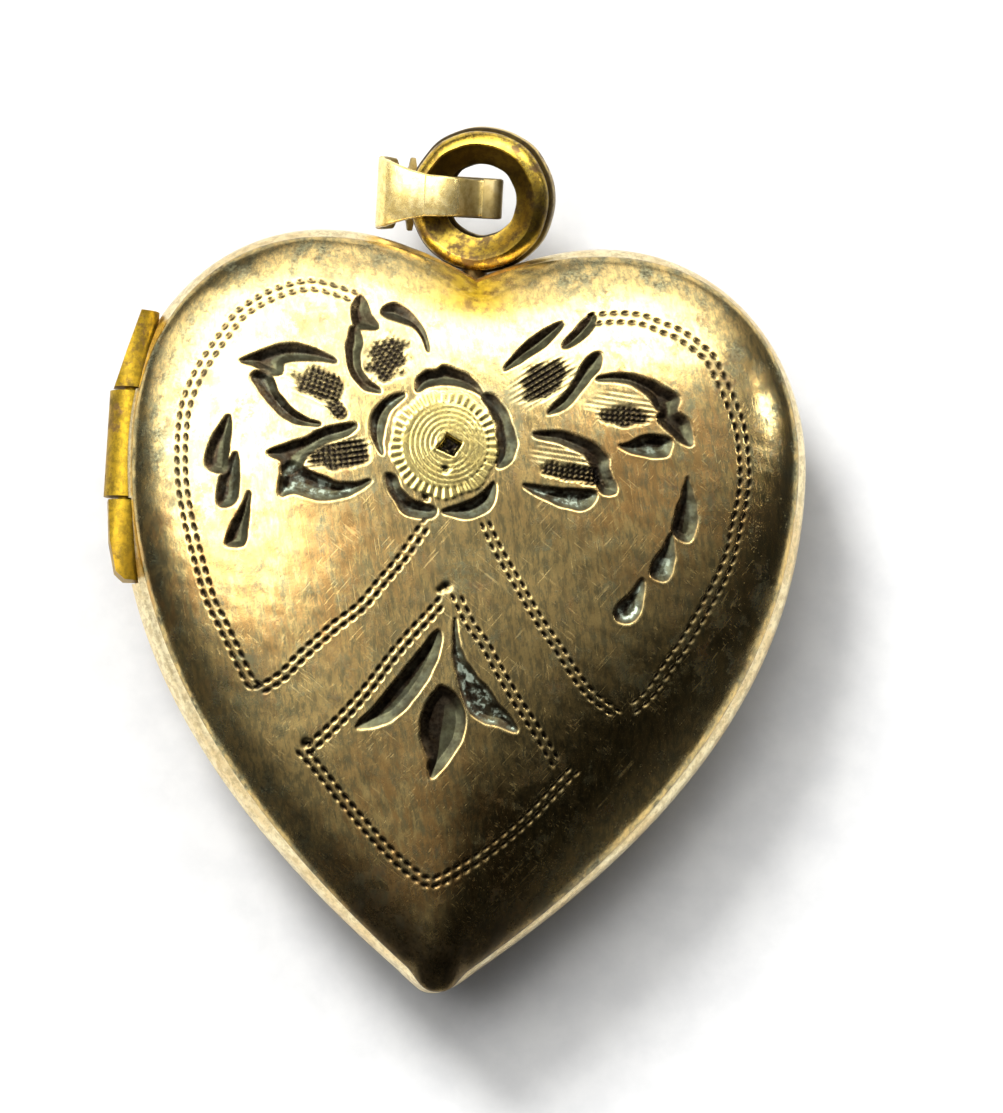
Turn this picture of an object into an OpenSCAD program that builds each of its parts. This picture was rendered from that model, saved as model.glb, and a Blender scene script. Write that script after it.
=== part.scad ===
// Puffed heart locket. Two domed covers meet at a flat parting plane, turn on a
// three-knuckle hinge at the left edge, and hold one framed picture each.
// The locket lies on its back: +Z points out of its engraved front, +Y towards the
// hanging ring, and the rear cover touches the plane z = 0.

/* [Heart outline] */
// Full width of the heart at the parting plane
heart_w = 22.5; // [22:0.1:23]
// Height of the lobe tops above the outline's zero line
lobe_top = 12.2; // [12:0.05:12.4]
// Distance of each lobe top from the centre line
lobe_x = 4.6; // [4.5:0.05:4.8]
// Height of the notch between the lobes
notch_y = 10.9; // [10.8:0.05:11]
// Height at which the heart is widest
widest_y = 4.9; // [4.7:0.1:5.2]
// Depth of the tip below the outline's zero line
tip_depth = 12.38; // [12.3:0.02:12.5]

/* [Covers] */
// Depth of each half, from the parting plane to its crown
half_depth = 3.2; // [3.1:0.05:3.5]
// Height of the side band round each half
rim_h = 0.95; // [0.9:0.05:1.1]
// How far the dome's foot lies inside the outline
dome_inset = 0.36; // [0.3:0.02:0.42]
// Wall of the domed covers at the crown
shell_t = 0.33; // [0.3:0.01:0.4]
// Gap between the two closed halves
parting_gap = 0.06; // [0.04:0.01:0.08]

/* [Hinge] */
// Outer radius of the hinge tube
knuckle_r = 0.72; // [0.7:0.01:0.74]
// Radius of the hinge pin
pin_r = 0.25; // [0.22:0.01:0.28]
// Radial clearance of the pin in the middle knuckle
pin_clearance = 0.03; // [0.02:0.01:0.05]
// Radial clearance of a knuckle in the other half's channel
channel_clearance = 0.1; // [0.08:0.01:0.12]
// Gap between neighbouring knuckles
knuckle_gap = 0.12; // [0.1:0.01:0.16]

/* [Pictures] */
// Thickness of a picture card
card_t = 0.1; // [0.08:0.01:0.12]
// Thickness of a clear window
window_t = 0.22; // [0.2:0.01:0.24]
// Thickness of a picture frame
frame_t = 0.28; // [0.26:0.01:0.3]

/* [Hanging ring and bail] */
// Middle of the ring above the outline's zero line
ring_y = 13.6; // [13.5:0.05:13.7]
// Lean of the ring out of the locket's plane, in degrees
ring_tilt = 16; // [14:1:17]
// Thickness of the bail's strip
strip_t = 0.22; // [0.2:0.01:0.24]

/* [Hidden] */

$fn = 48;
tiny = 0.01;

// Middle of the heart, towards which its outlines shrink
centre = [0, 1.2];
// Corner where the straight flank turns into the tip
tip_corner = [1.35, -11.65];
// Inset of the rims' inner wall, the snap lip, the bezels and the picture frames
wall_in = 0.75;
lip_in = 0.87;
lip_back_in = 1.15;
bezel_in = 1.3;
picture_in = 1.4;
ledge_in = 1.9;
opening_in = 2.3;
// Height of the snap lip above the parting plane, and of the front bezel's foot
lip_h = 0.35;
front_bezel_z = 0.45;
ledge_t = 0.15;
stack_gap = 0.02;

// Dome: how full it is, the round form it takes towards the crown, and the crease
// that runs in from the notch
dome_power = 2.6;
dome_round = 0.74;
crown_r = 11;
crease_end = 0.76;
crease_fill = 0.9;
crease_w = 1.8;
ROW_SCALES = [1, 0.985, 0.96, 0.92, 0.87, 0.8, 0.7, 0.58, 0.44, 0.3, 0.15, 0.03];

// Hinge line and the ends of its knuckles
hinge_x = -10.95;
hinge_low = 0.25;
hinge_split_low = 2.89;
hinge_split_high = 6.46;
hinge_high = 9.05;
pin_low = 0.95;
pin_high = 7.7;

// Ring section: a narrow front tier on a wider rear tier
front_tier = [1.68, 0.28];
front_tier_r = 0.46;
rear_tier = [1.75, -0.2];
rear_tier_r = 0.58;
ring_lean_dir = 35;
seat_r = 0.42;
seat_z = -0.5;

// The box of the whole locket, which puts the origin under its middle
box_left = hinge_x - knuckle_r;
box_right = heart_w / 2;
box_top = ring_y + rear_tier[0] + rear_tier_r;
box_low = -tip_depth - 0.05;
origin_shift = [-(box_left + box_right) / 2, -(box_top + box_low) / 2, half_depth];

GOLD = "#c9a653";
PALE_GOLD = "#e3d196";
BRASS = "#b08a2e";
CELLULOID = "#e6e2cf";
PAPER = "#efe9da";

// A point on a cubic curve with end points p[0], p[3] and handles p[1], p[2]
function cubic(p, t) =
    pow(1 - t, 3) * p[0] + 3 * t * pow(1 - t, 2) * p[1]
    + 3 * t * t * (1 - t) * p[2] + pow(t, 3) * p[3];

// Points along a cubic curve, without its last one
function run(p, n) = [for (i = [0:n - 1]) cubic(p, i / n)];

// Right half of a heart, clockwise from the notch to just before the tip
function half_heart(inset, corner, bottom) =
    let (
        notch = [0, notch_y - 0.6 * inset],
        lobe = [lobe_x, lobe_top - inset],
        side = [heart_w / 2 - inset, widest_y]
    )
    concat(
        run([notch, notch + [1.5, 0.75], [lobe[0] - 1.6, lobe[1]], lobe], 8),
        run([lobe, lobe + [3.75, 0], side + [0, 4.1], side], 12),
        run([side, side - [0, 4.2], side - [1.3 + 0.7 * inset, 9.9], corner], 12),
        run([corner, corner - [0.4, 0.32], [0.6, bottom], [0, bottom]], 5)
    );

// The whole closed outline from its right half
function whole_heart(half, bottom) =
    concat(half, [[0, bottom]], [for (i = [len(half) - 1:-1:1]) [-half[i][0], half[i][1]]]);

function shrink(points, s) = [for (p = points) centre + s * (p - centre)];
function inset_scale(inset) = 1 - inset / (heart_w / 2);

OUTLINE = whole_heart(half_heart(0, tip_corner, -tip_depth), -tip_depth);
DOME_FOOT = whole_heart(half_heart(dome_inset, tip_corner + [-0.3, 0], box_low), box_low);
WALL = shrink(OUTLINE, inset_scale(wall_in));

function smooth_step(u) = u <= 0 ? 0 : u * u * (3 - 2 * u);
// How much of the notch's crease is left at scale s
function crease(s) = smooth_step((s - crease_end) / (1 - crease_end));

// One closed row of a dome: the foot outline shrunk by s. Towards the crown the notch
// fills and the heart turns into a circle.
function dome_row(foot, s, z) = [
    for (p = foot)
        let (
            fill = p[1] > 0 ? crease_fill * exp(-pow(p[0] / crease_w, 2)) * (1 - crease(s)) : 0,
            v = p + [0, fill] - centre,
            heart = smooth_step(s),
            q = centre + s * (heart * v + (1 - heart) * crown_r * v / norm(v))
        )
        [q[0], q[1], z]
];
function dome_rise(s) = pow(1 - pow(s, dome_power), dome_round);
function dome_rows(foot, rise) = [
    for (s = ROW_SCALES) dome_row(foot, s, rim_h + rise * dome_rise(s))
];
function reversed(list) = [for (i = [len(list) - 1:-1:0]) list[i]];

// A closed solid through rows of points, flat at both ends
module loft(rows) {
    n = len(rows[0]);
    m = len(rows);
    sides = [
        for (j = [0:m - 2], i = [0:n - 1])
            let (a = j * n + i, b = j * n + (i + 1) % n)
            each [[a, b, b + n], [a, b + n, a + n]]
    ];
    polyhedron(
        points = [for (row = rows) each row],
        faces = concat(
            [[for (i = [n - 1:-1:0]) i]],
            sides,
            [[for (i = [0:n - 1]) (m - 1) * n + i]]
        )
    );
}

// A flat heart between two heights
module heart_plate(inset, z0, z1) {
    translate([0, 0, z0])
        linear_extrude(z1 - z0)
            polygon(shrink(OUTLINE, inset_scale(inset)));
}

// A heart-shaped band between two insets and two heights
module heart_band(outer_in, inner_in, z0, z1) {
    difference() {
        heart_plate(outer_in, z0, z1);
        heart_plate(inner_in, z0 - 1, z1 + 1);
    }
}

// A cylinder of radius r on the hinge line
module on_hinge(r, y0, y1) {
    translate([hinge_x, y1, 0])
        rotate([90, 0, 0])
            cylinder(r = r, h = y1 - y0);
}

// Channel for the knuckles: tight on this half's own ones, loose on the other half's
module hinge_channel(own_middle) {
    loose = knuckle_r + channel_clearance;
    if (own_middle) {
        on_hinge(loose, hinge_low - 0.1, hinge_split_low);
        on_hinge(knuckle_r, hinge_split_low - tiny, hinge_split_high + tiny);
        on_hinge(loose, hinge_split_high, hinge_high + 0.1);
    } else {
        on_hinge(knuckle_r, hinge_low - 0.1, hinge_split_low - tiny);
        on_hinge(loose, hinge_split_low - tiny, hinge_split_high + tiny);
        on_hinge(knuckle_r, hinge_split_high + tiny, hinge_high + 0.1);
    }
}

// The domed shell of one half
module dome_shell() {
    rise = half_depth - rim_h;
    loft(concat(
        reversed(dome_rows(WALL, rise - shell_t)),
        dome_rows(DOME_FOOT, rise)
    ));
}

// The side band of one half: it slopes in from the parting plane to the dome's foot
module side_band(own_middle) {
    low = parting_gap / 2;
    mid = 0.55;
    middle_row = [for (i = [0:len(OUTLINE) - 1]) 0.7 * OUTLINE[i] + 0.3 * DOME_FOOT[i]];
    difference() {
        loft([
            [for (p = OUTLINE) [p[0], p[1], low]],
            [for (p = middle_row) [p[0], p[1], mid]],
            [for (p = DOME_FOOT) [p[0], p[1], rim_h]]
        ]);
        heart_plate(wall_in, -1, 2);
        hinge_channel(own_middle);
    }
}

// The filed outer line of the hinge
module filed_hinge() {
    translate([0, 0, -2])
        linear_extrude(4)
            polygon([
                [-9, 0.25], [-10.85, 0.25], [-11.15, 0.5], [-11.4, 1.5], [-11.52, 2.83],
                [-11.8, 2.9], [-11.8, 6.46], [-11.56, 6.5], [-11.2, 7.85], [-10.85, 9.05], [-9, 9.05]
            ]);
}

// One knuckle with its bore
module knuckle(y0, y1, bore_r, bore_y0, bore_y1) {
    difference() {
        intersection() {
            on_hinge(knuckle_r, y0, y1);
            filed_hinge();
        }
        on_hinge(bore_r, bore_y0, bore_y1);
    }
}

// Turns the ring's own axes into the locket's
module on_ring() {
    translate([0, ring_y, 0])
        rotate(a = ring_tilt, v = [sin(ring_lean_dir), -cos(ring_lean_dir), 0])
            children();
}

// Smooth points through a few chosen ones
function smooth(p, steps) = concat(
    [
        for (i = [0:len(p) - 2], k = [0:steps - 1])
            let (
                a = p[max(i - 1, 0)],
                b = p[i],
                c = p[i + 1],
                d = p[min(i + 2, len(p) - 1)]
            )
            cubic([b, b + (c - a) / 6, c - (d - b) / 6, c], k / steps)
    ],
    [p[len(p) - 1]]
);

// Outline of a strip of thickness t along a path
function side_step(p, i) =
    let (d = p[min(i + 1, len(p) - 1)] - p[max(i - 1, 0)])
    [-d[1], d[0]] / norm(d);
function strip_outline(p, t) = concat(
    [for (i = [0:len(p) - 1]) p[i] + side_step(p, i) * t / 2],
    [for (i = [len(p) - 1:-1:0]) p[i] - side_step(p, i) * t / 2]
);

// A plan symmetric about the bail's length, from half-widths along it
function plan(half) = concat(half, [for (i = [len(half) - 1:-1:0]) [half[i][0], -half[i][1]]]);

// Bail paths seen from its side: [distance from the ring's middle, height]
FRONT_LEAF = [
    [-0.05, 0.06], [0.4, 0.22], [0.8, 0.5], [1.15, 0.83], [1.55, 1.02], [1.95, 1.03],
    [2.45, 0.9], [2.9, 0.68], [3.2, 0.4], [3.3, 0]
];
REAR_LEAF = [
    [3.3, 0], [3.18, -0.42], [2.85, -0.8], [2.3, -1.03], [1.75, -1.1], [1.15, -1],
    [0.5, -0.78], [-0.1, -0.55], [-0.48, -0.34], [-0.6, -0.1], [-0.45, 0.1], [-0.05, 0.12]
];
// Half-widths of the two leaves along the bail
FRONT_PLAN = [
    [-1, 0.6], [0.1, 0.6], [1.1, 0.68], [2, 0.72], [2.45, 0.78], [2.8, 0.92], [3.1, 1.12], [3.5, 1.2]
];
REAR_PLAN = [
    [-1, 0.66], [1.1, 0.68], [2.2, 0.74], [2.28, 0.8], [2.33, 1.2], [2.5, 1.22], [2.56, 0.84],
    [2.85, 0.88], [2.95, 1.16], [3.2, 1.2], [3.5, 1.2]
];

module bail_leaf(path, half_plan) {
    intersection() {
        translate([0, 1.5, 0])
            rotate([90, 0, 0])
                linear_extrude(3)
                    polygon(strip_outline(smooth(path, 4), strip_t));
        translate([0, 0, -2])
            linear_extrude(4)
                polygon(plan(half_plan));
    }
}

// ---- Sub-parts, each in the locket's frame ----

module place() translate(origin_shift) children();
module rear() mirror([0, 0, 1]) children();

// Stack of one half, from the ledge towards the parting plane
card_top = rim_h - ledge_t - stack_gap;
card_low = card_top - card_t;
window_top = card_low - stack_gap;
window_low = window_top - window_t;
frame_top = window_low - stack_gap;
frame_low = frame_top - frame_t;

module rear_cover() color(GOLD) place() rear() dome_shell();

module rear_rim() color(PALE_GOLD) place() rear() side_band(false);

module rear_bezel() {
    color(GOLD) place() difference() {
        union() {
            heart_band(wall_in, bezel_in, -rim_h, -parting_gap / 2);
            heart_band(wall_in, ledge_in, -rim_h, ledge_t - rim_h);
            heart_band(lip_in, lip_back_in, -rim_h, lip_h);
        }
        on_hinge(knuckle_r + channel_clearance, hinge_low - 0.3, hinge_high + 0.3);
    }
}

module rear_photo_card() color(PAPER) place() heart_plate(picture_in, -card_top, -card_low);

module rear_window() color(CELLULOID) place() heart_plate(picture_in, -window_top, -window_low);

module rear_photo_frame() {
    color(GOLD) place() heart_band(picture_in, opening_in, -frame_top, -frame_low);
}

module hinge_knuckle_upper() {
    y0 = hinge_split_high + knuckle_gap / 2;
    color(BRASS) place() knuckle(y0, hinge_high, pin_r, y0 - 1, pin_high);
}

module hinge_knuckle_lower() {
    y1 = hinge_split_low - knuckle_gap / 2;
    color(BRASS) place() knuckle(hinge_low, y1, pin_r, pin_low, y1 + 1);
}

module hinge_pin() color(BRASS) place() on_hinge(pin_r, pin_low, pin_high);

module hanging_ring() {
    color(GOLD) place() on_ring() rotate_extrude() {
        translate(front_tier) circle(front_tier_r);
        translate(rear_tier) circle(rear_tier_r);
    }
}

module ring_seat() {
    color(BRASS) place() translate([0, 11.6, seat_z]) rotate([90, 0, 0]) cylinder(r = seat_r, h = 1.15);
}

module front_cover() color(GOLD) place() dome_shell();

module front_rim() color(PALE_GOLD) place() side_band(true);

module front_bezel() {
    color(GOLD) place() difference() {
        union() {
            heart_band(wall_in, bezel_in, front_bezel_z, rim_h);
            heart_band(wall_in, ledge_in, rim_h - ledge_t, rim_h);
        }
        on_hinge(knuckle_r + channel_clearance, hinge_low - 0.3, hinge_high + 0.3);
    }
}

module front_photo_card() color(PAPER) place() heart_plate(picture_in, card_low, card_top);

module front_window() color(CELLULOID) place() heart_plate(picture_in, window_low, window_top);

module front_photo_frame() {
    color(GOLD) place() heart_band(picture_in, opening_in, frame_low, frame_top);
}

module hinge_knuckle_middle() {
    y0 = hinge_split_low + knuckle_gap / 2;
    y1 = hinge_split_high - knuckle_gap / 2;
    color(BRASS) place() knuckle(y0, y1, pin_r + pin_clearance, y0 - 1, y1 + 1);
}

module bail() {
    color(PALE_GOLD) place() on_ring() rotate([0, 0, 180]) {
        bail_leaf(FRONT_LEAF, FRONT_PLAN);
        bail_leaf(REAR_LEAF, REAR_PLAN);
    }
}

rear_cover();
rear_rim();
rear_bezel();
rear_photo_card();
rear_window();
rear_photo_frame();
hinge_knuckle_upper();
hinge_knuckle_lower();
hinge_pin();
hanging_ring();
ring_seat();
front_cover();
front_rim();
front_bezel();
front_photo_card();
front_window();
front_photo_frame();
hinge_knuckle_middle();
bail();
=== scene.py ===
"""Looks of a worn, engraved heart locket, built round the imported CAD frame.

Shapes are worked out in the heart's own axes, in millimetres: x to the right, y towards the
ring, z out of the engraved front, with z = 0 at the parting plane. world() turns those into
the frame's metres, with the place and scale read off the CAD cover.
"""

import math

import bmesh
import bpy
import numpy as np
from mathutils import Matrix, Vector

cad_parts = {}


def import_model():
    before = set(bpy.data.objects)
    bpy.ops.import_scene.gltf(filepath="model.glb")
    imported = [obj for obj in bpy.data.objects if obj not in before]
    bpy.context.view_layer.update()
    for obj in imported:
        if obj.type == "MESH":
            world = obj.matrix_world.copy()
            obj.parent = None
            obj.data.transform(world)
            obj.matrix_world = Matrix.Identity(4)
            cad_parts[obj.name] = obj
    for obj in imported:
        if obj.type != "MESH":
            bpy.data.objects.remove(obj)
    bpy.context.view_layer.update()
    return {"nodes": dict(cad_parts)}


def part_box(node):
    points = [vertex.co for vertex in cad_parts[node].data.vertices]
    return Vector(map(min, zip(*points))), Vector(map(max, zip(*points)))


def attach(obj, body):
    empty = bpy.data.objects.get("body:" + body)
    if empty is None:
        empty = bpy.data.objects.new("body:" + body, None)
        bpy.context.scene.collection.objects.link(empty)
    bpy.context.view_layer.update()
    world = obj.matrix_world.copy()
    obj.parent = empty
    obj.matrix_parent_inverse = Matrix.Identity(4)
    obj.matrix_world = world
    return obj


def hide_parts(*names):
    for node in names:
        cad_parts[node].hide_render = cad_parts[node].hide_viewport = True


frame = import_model()

# ---------------------------------------------------------------- sizes of the CAD locket
# The heart's outline
HEART_W = 22.5
LOBE_X, LOBE_TOP = 4.6, 12.2
NOTCH_Y = 10.9
WIDEST_Y = 4.9
TIP_Y = -12.38
FOOT_Y = -12.43
CENTRE = np.array([0, 1.2])
TIP_CORNER = np.array([1.35, -11.65])
# One half: its depth, its rim, the dome's foot inside the rim's edge, and the gap when shut
HALF_DEPTH = 3.2
RIM_H = 0.95
DOME_INSET = 0.36
SHELL_T = 0.33
GAP = 0.03
# The inner rings: distances in from the edge, and heights over the parting plane
WALL_IN, LIP_IN, LIP_BACK_IN, BEZEL_IN = 0.75, 0.87, 1.15, 1.3
PICTURE_IN, LEDGE_IN, OPENING_IN = 1.4, 1.9, 2.3
LIP_H = 0.35
FRONT_BEZEL_Z = 0.45
LEDGE_Z = 0.8
CARD_Z = (0.68, 0.78)
WINDOW_Z = (0.44, 0.66)
FRAME_Z = (0.14, 0.42)
# The dome: how square its arch is, the circle at its crown, and the crease below the notch
DOME_POWER, DOME_ROUND = 2.6, 0.74
CROWN_R = 11
CREASE_END, CREASE_FILL, CREASE_W = 0.76, 0.9, 1.8
# The hinge: its line, its radii where the metal is fixed and loose, and where it is split
HINGE_X = -10.95
KNUCKLE_R, LOOSE_R = 0.72, 0.82
HINGE_LOW, SPLIT_LOW, SPLIT_HIGH, HINGE_HIGH = 0.25, 2.89, 6.46, 9.05
# The ring: its middle, its lean, and its two tiers as circles (out, up) with a radius
RING_Y = 13.6
RING_TILT, RING_LEAN_DIR = math.radians(16), math.radians(35)
FRONT_TIER, FRONT_TIER_R = np.array([1.68, 0.28]), 0.46
REAR_TIER, REAR_TIER_R = np.array([1.75, -0.2]), 0.58
STRIP_T = 0.22

cover_low, cover_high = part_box("front_cover")
UNIT = (cover_high.x - cover_low.x) / (HEART_W - 2 * DOME_INSET)
ORIGIN = np.array(
    [
        (cover_low.x + cover_high.x) / 2,
        cover_low.y - FOOT_Y * UNIT,
        cover_high.z - HALF_DEPTH * UNIT,
    ]
)


def world(points):
    """Heart axes in millimetres to the frame's metres."""
    return ORIGIN + UNIT * np.asarray(points, float)


# ---------------------------------------------------------------- camera
CAM_LENS, CAM_SENSOR = 200, 36
VIEW_HEIGHT = 36.3
CAM_TILT = math.radians(8)
CAM_FROM = math.radians(225)
AIM = np.array([1.39, 1.87, 0])
CAM_ROLL = math.radians(3.3)

distance = VIEW_HEIGHT * CAM_LENS / CAM_SENSOR
EYE = AIM + distance * np.array(
    [
        math.sin(CAM_TILT) * math.cos(CAM_FROM),
        math.sin(CAM_TILT) * math.sin(CAM_FROM),
        math.cos(CAM_TILT),
    ]
)
camera_data = bpy.data.cameras.new("camera")
camera_data.lens = CAM_LENS
camera_data.sensor_width = CAM_SENSOR
camera_data.clip_start = 0.001
camera_data.clip_end = 10
camera = bpy.data.objects.new("camera", camera_data)
bpy.context.scene.collection.objects.link(camera)
back = Vector(EYE - AIM).normalized()
up = Vector((-math.sin(CAM_ROLL), math.cos(CAM_ROLL), 0))
right = up.cross(back).normalized()
up = back.cross(right)
camera.rotation_mode = "QUATERNION"
turn = np.array([right, up, back]).T
camera.matrix_world = (
    (turn[0][0], turn[1][0], turn[2][0], 0),
    (turn[0][1], turn[1][1], turn[2][1], 0),
    (turn[0][2], turn[1][2], turn[2][2], 0),
    (*world(EYE), 1),
)
bpy.context.scene.camera = camera


# ---------------------------------------------------------------- outlines and mesh helpers
CURVE_STEPS = 60
# Waves that make up an uneven surface
WAVES = 14
# Edges sharper than these stay crisp, in degrees
SHARP_RING, SHARP_EDGE = 32, 50


def cubic(points, t):
    """Points along a Bezier curve at the shares t."""
    a, b, c, d = (np.array(p, float) for p in points)
    t = np.asarray(t, float)[:, None]
    return (1 - t) ** 3 * a + 3 * t * (1 - t) ** 2 * b + 3 * t * t * (1 - t) * c + t**3 * d


def heart(inset, corner, bottom):
    """A heart outline, clockwise from the notch, with the same number of points each time.

    The right half is four curves, through the lobe's top, the widest place and the tip's
    corner. What is added to those places are the curves' handles.
    """
    t = np.arange(CURVE_STEPS) / CURVE_STEPS
    notch = np.array([0, NOTCH_Y - 0.6 * inset])
    lobe = np.array([LOBE_X, LOBE_TOP - inset])
    side = np.array([HEART_W / 2 - inset, WIDEST_Y])
    low = (side[0] - 1.3 - 0.7 * inset, side[1] - 9.9)
    half = np.concatenate(
        [
            cubic([notch, notch + (1.5, 0.75), (lobe[0] - 1.6, lobe[1]), lobe], t),
            cubic([lobe, lobe + (3.75, 0), side + (0, 4.1), side], t),
            cubic([side, side - (0, 4.2), low, corner], t),
            cubic([corner, corner - (0.4, 0.32), (0.6, bottom), (0, bottom)], t),
        ]
    )
    return np.concatenate([half, [[0, bottom]], half[:0:-1] * (-1, 1)])


def shrink(outline, inset):
    """The outline drawn in towards CENTRE, by inset at its widest."""
    return CENTRE + (1 - inset / (HEART_W / 2)) * (outline - CENTRE)


OUTLINE = heart(0, TIP_CORNER, TIP_Y)
DOME_FOOT = heart(DOME_INSET, TIP_CORNER - (0.3, 0), FOOT_Y)
WALL = shrink(OUTLINE, WALL_IN)
steps_round = np.linalg.norm(np.roll(OUTLINE, -1, 0) - OUTLINE, axis=1)
ROUND = np.concatenate([[0], np.cumsum(steps_round)])


def even(curve, n):
    """n points of a heart curve, evenly spaced round the outline."""
    at = np.arange(n) / n * ROUND[-1]
    loop = np.vstack([curve, curve[:1]])
    return np.stack([np.interp(at, ROUND, loop[:, k]) for k in (0, 1)], 1)


def smooth_step(u):
    u = np.clip(u, 0, 1)
    return u * u * (3 - 2 * u)


def fade(value, start, end):
    """0 before start, 1 after end, smooth between them."""
    return smooth_step((value - start) / (end - start))


def dome_row(foot, s):
    """The dome's foot outline shrunk to scale s: the notch fills, and the heart rounds off."""
    crease = fade(s, CREASE_END, 1)
    fill = np.where(
        foot[:, 1] > 0,
        CREASE_FILL * np.exp(-((foot[:, 0] / CREASE_W) ** 2)) * (1 - crease),
        0,
    )
    v = foot + np.stack([0 * fill, fill], 1) - CENTRE
    heart_share = smooth_step(s)
    circle = CROWN_R * v / np.linalg.norm(v, axis=1)[:, None]
    row = CENTRE + s * (heart_share * v + (1 - heart_share) * circle)
    return soften(row, 0.022 * fade(1 - s, 0.01, 0.3))


def soften(loop, width):
    """Rounds the corners of a closed loop over a share of its length."""
    waves = np.fft.fft(loop[:, 0] + 1j * loop[:, 1])
    turns = np.fft.fftfreq(len(loop), 1 / len(loop))
    smooth = np.fft.ifft(waves * np.exp(-2 * (math.pi * turns * width) ** 2))
    return np.stack([smooth.real, smooth.imag], 1)


def dome_z(s, rise):
    """Height of the dome where its outline has shrunk to scale s."""
    return RIM_H + rise * (1 - s**DOME_POWER) ** DOME_ROUND


def at_height(outline, z):
    return np.column_stack([outline, np.full(len(outline), z)])


def smooth_line(points, steps, closed=False):
    """Points along a smooth curve through the given ones."""
    p = np.asarray(points, float)
    n = len(p)
    spans = range(n if closed else n - 1)
    out = []
    for i in spans:
        if closed:
            a, b, c, d = p[i - 1], p[i], p[(i + 1) % n], p[(i + 2) % n]
        else:
            a, b, c, d = p[max(i - 1, 0)], p[i], p[i + 1], p[min(i + 2, n - 1)]
        out.append(cubic([b, b + (c - a) / 6, c - (d - b) / 6, c], np.arange(steps) / steps))
    if not closed:
        out.append(p[-1:])
    return np.concatenate(out)


def build(node, points, faces, body, sharp=None, attributes=None):
    """A mesh piece from points in heart axes, riding on a CAD body in place of a CAD node."""
    name = node + "_detailed"
    mesh = bpy.data.meshes.new(name)
    mesh.from_pydata(world(points).tolist(), [], faces)
    mesh.update()
    for key, values in (attributes or {}).items():
        layer = mesh.attributes.new(key, "FLOAT", "POINT")
        layer.data.foreach_set("value", np.asarray(values, np.float32))
    piece = bpy.data.objects.new(name, mesh)
    bpy.context.scene.collection.objects.link(piece)
    mesh.shade_smooth()
    if sharp:
        mesh.set_sharp_from_angle(angle=math.radians(sharp))
    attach(piece, body)
    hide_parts(node)
    return piece


def fix_normals(piece):
    """Turns every face outwards."""
    bm = bmesh.new()
    bm.from_mesh(piece.data)
    bmesh.ops.recalc_face_normals(bm, faces=bm.faces)
    bm.to_mesh(piece.data)
    bm.free()


def ring_faces(rows, n, closed_rows=False):
    """Quads between rows of n points each, every row a closed loop."""
    last = rows if closed_rows else rows - 1
    i = np.arange(n)
    faces = []
    for j in range(last):
        a = j * n + i
        b = j * n + (i + 1) % n
        c = (j + 1) % rows * n + (i + 1) % n
        d = (j + 1) % rows * n + i
        faces.append(np.stack([a, b, c, d], 1))
    return np.concatenate(faces).tolist()


def undulation(points, wave, seed):
    """A gentle, random, smooth unevenness with about unit size."""
    rng = np.random.default_rng(seed)
    total = np.zeros(len(points))
    for _ in range(WAVES):
        direction = rng.normal(size=2)
        direction /= np.linalg.norm(direction)
        turns = (points[:, :2] @ direction) / (wave * rng.uniform(0.6, 1.7))
        total += np.sin(2 * math.pi * (turns + rng.uniform()))
    return total / math.sqrt(WAVES)


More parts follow.
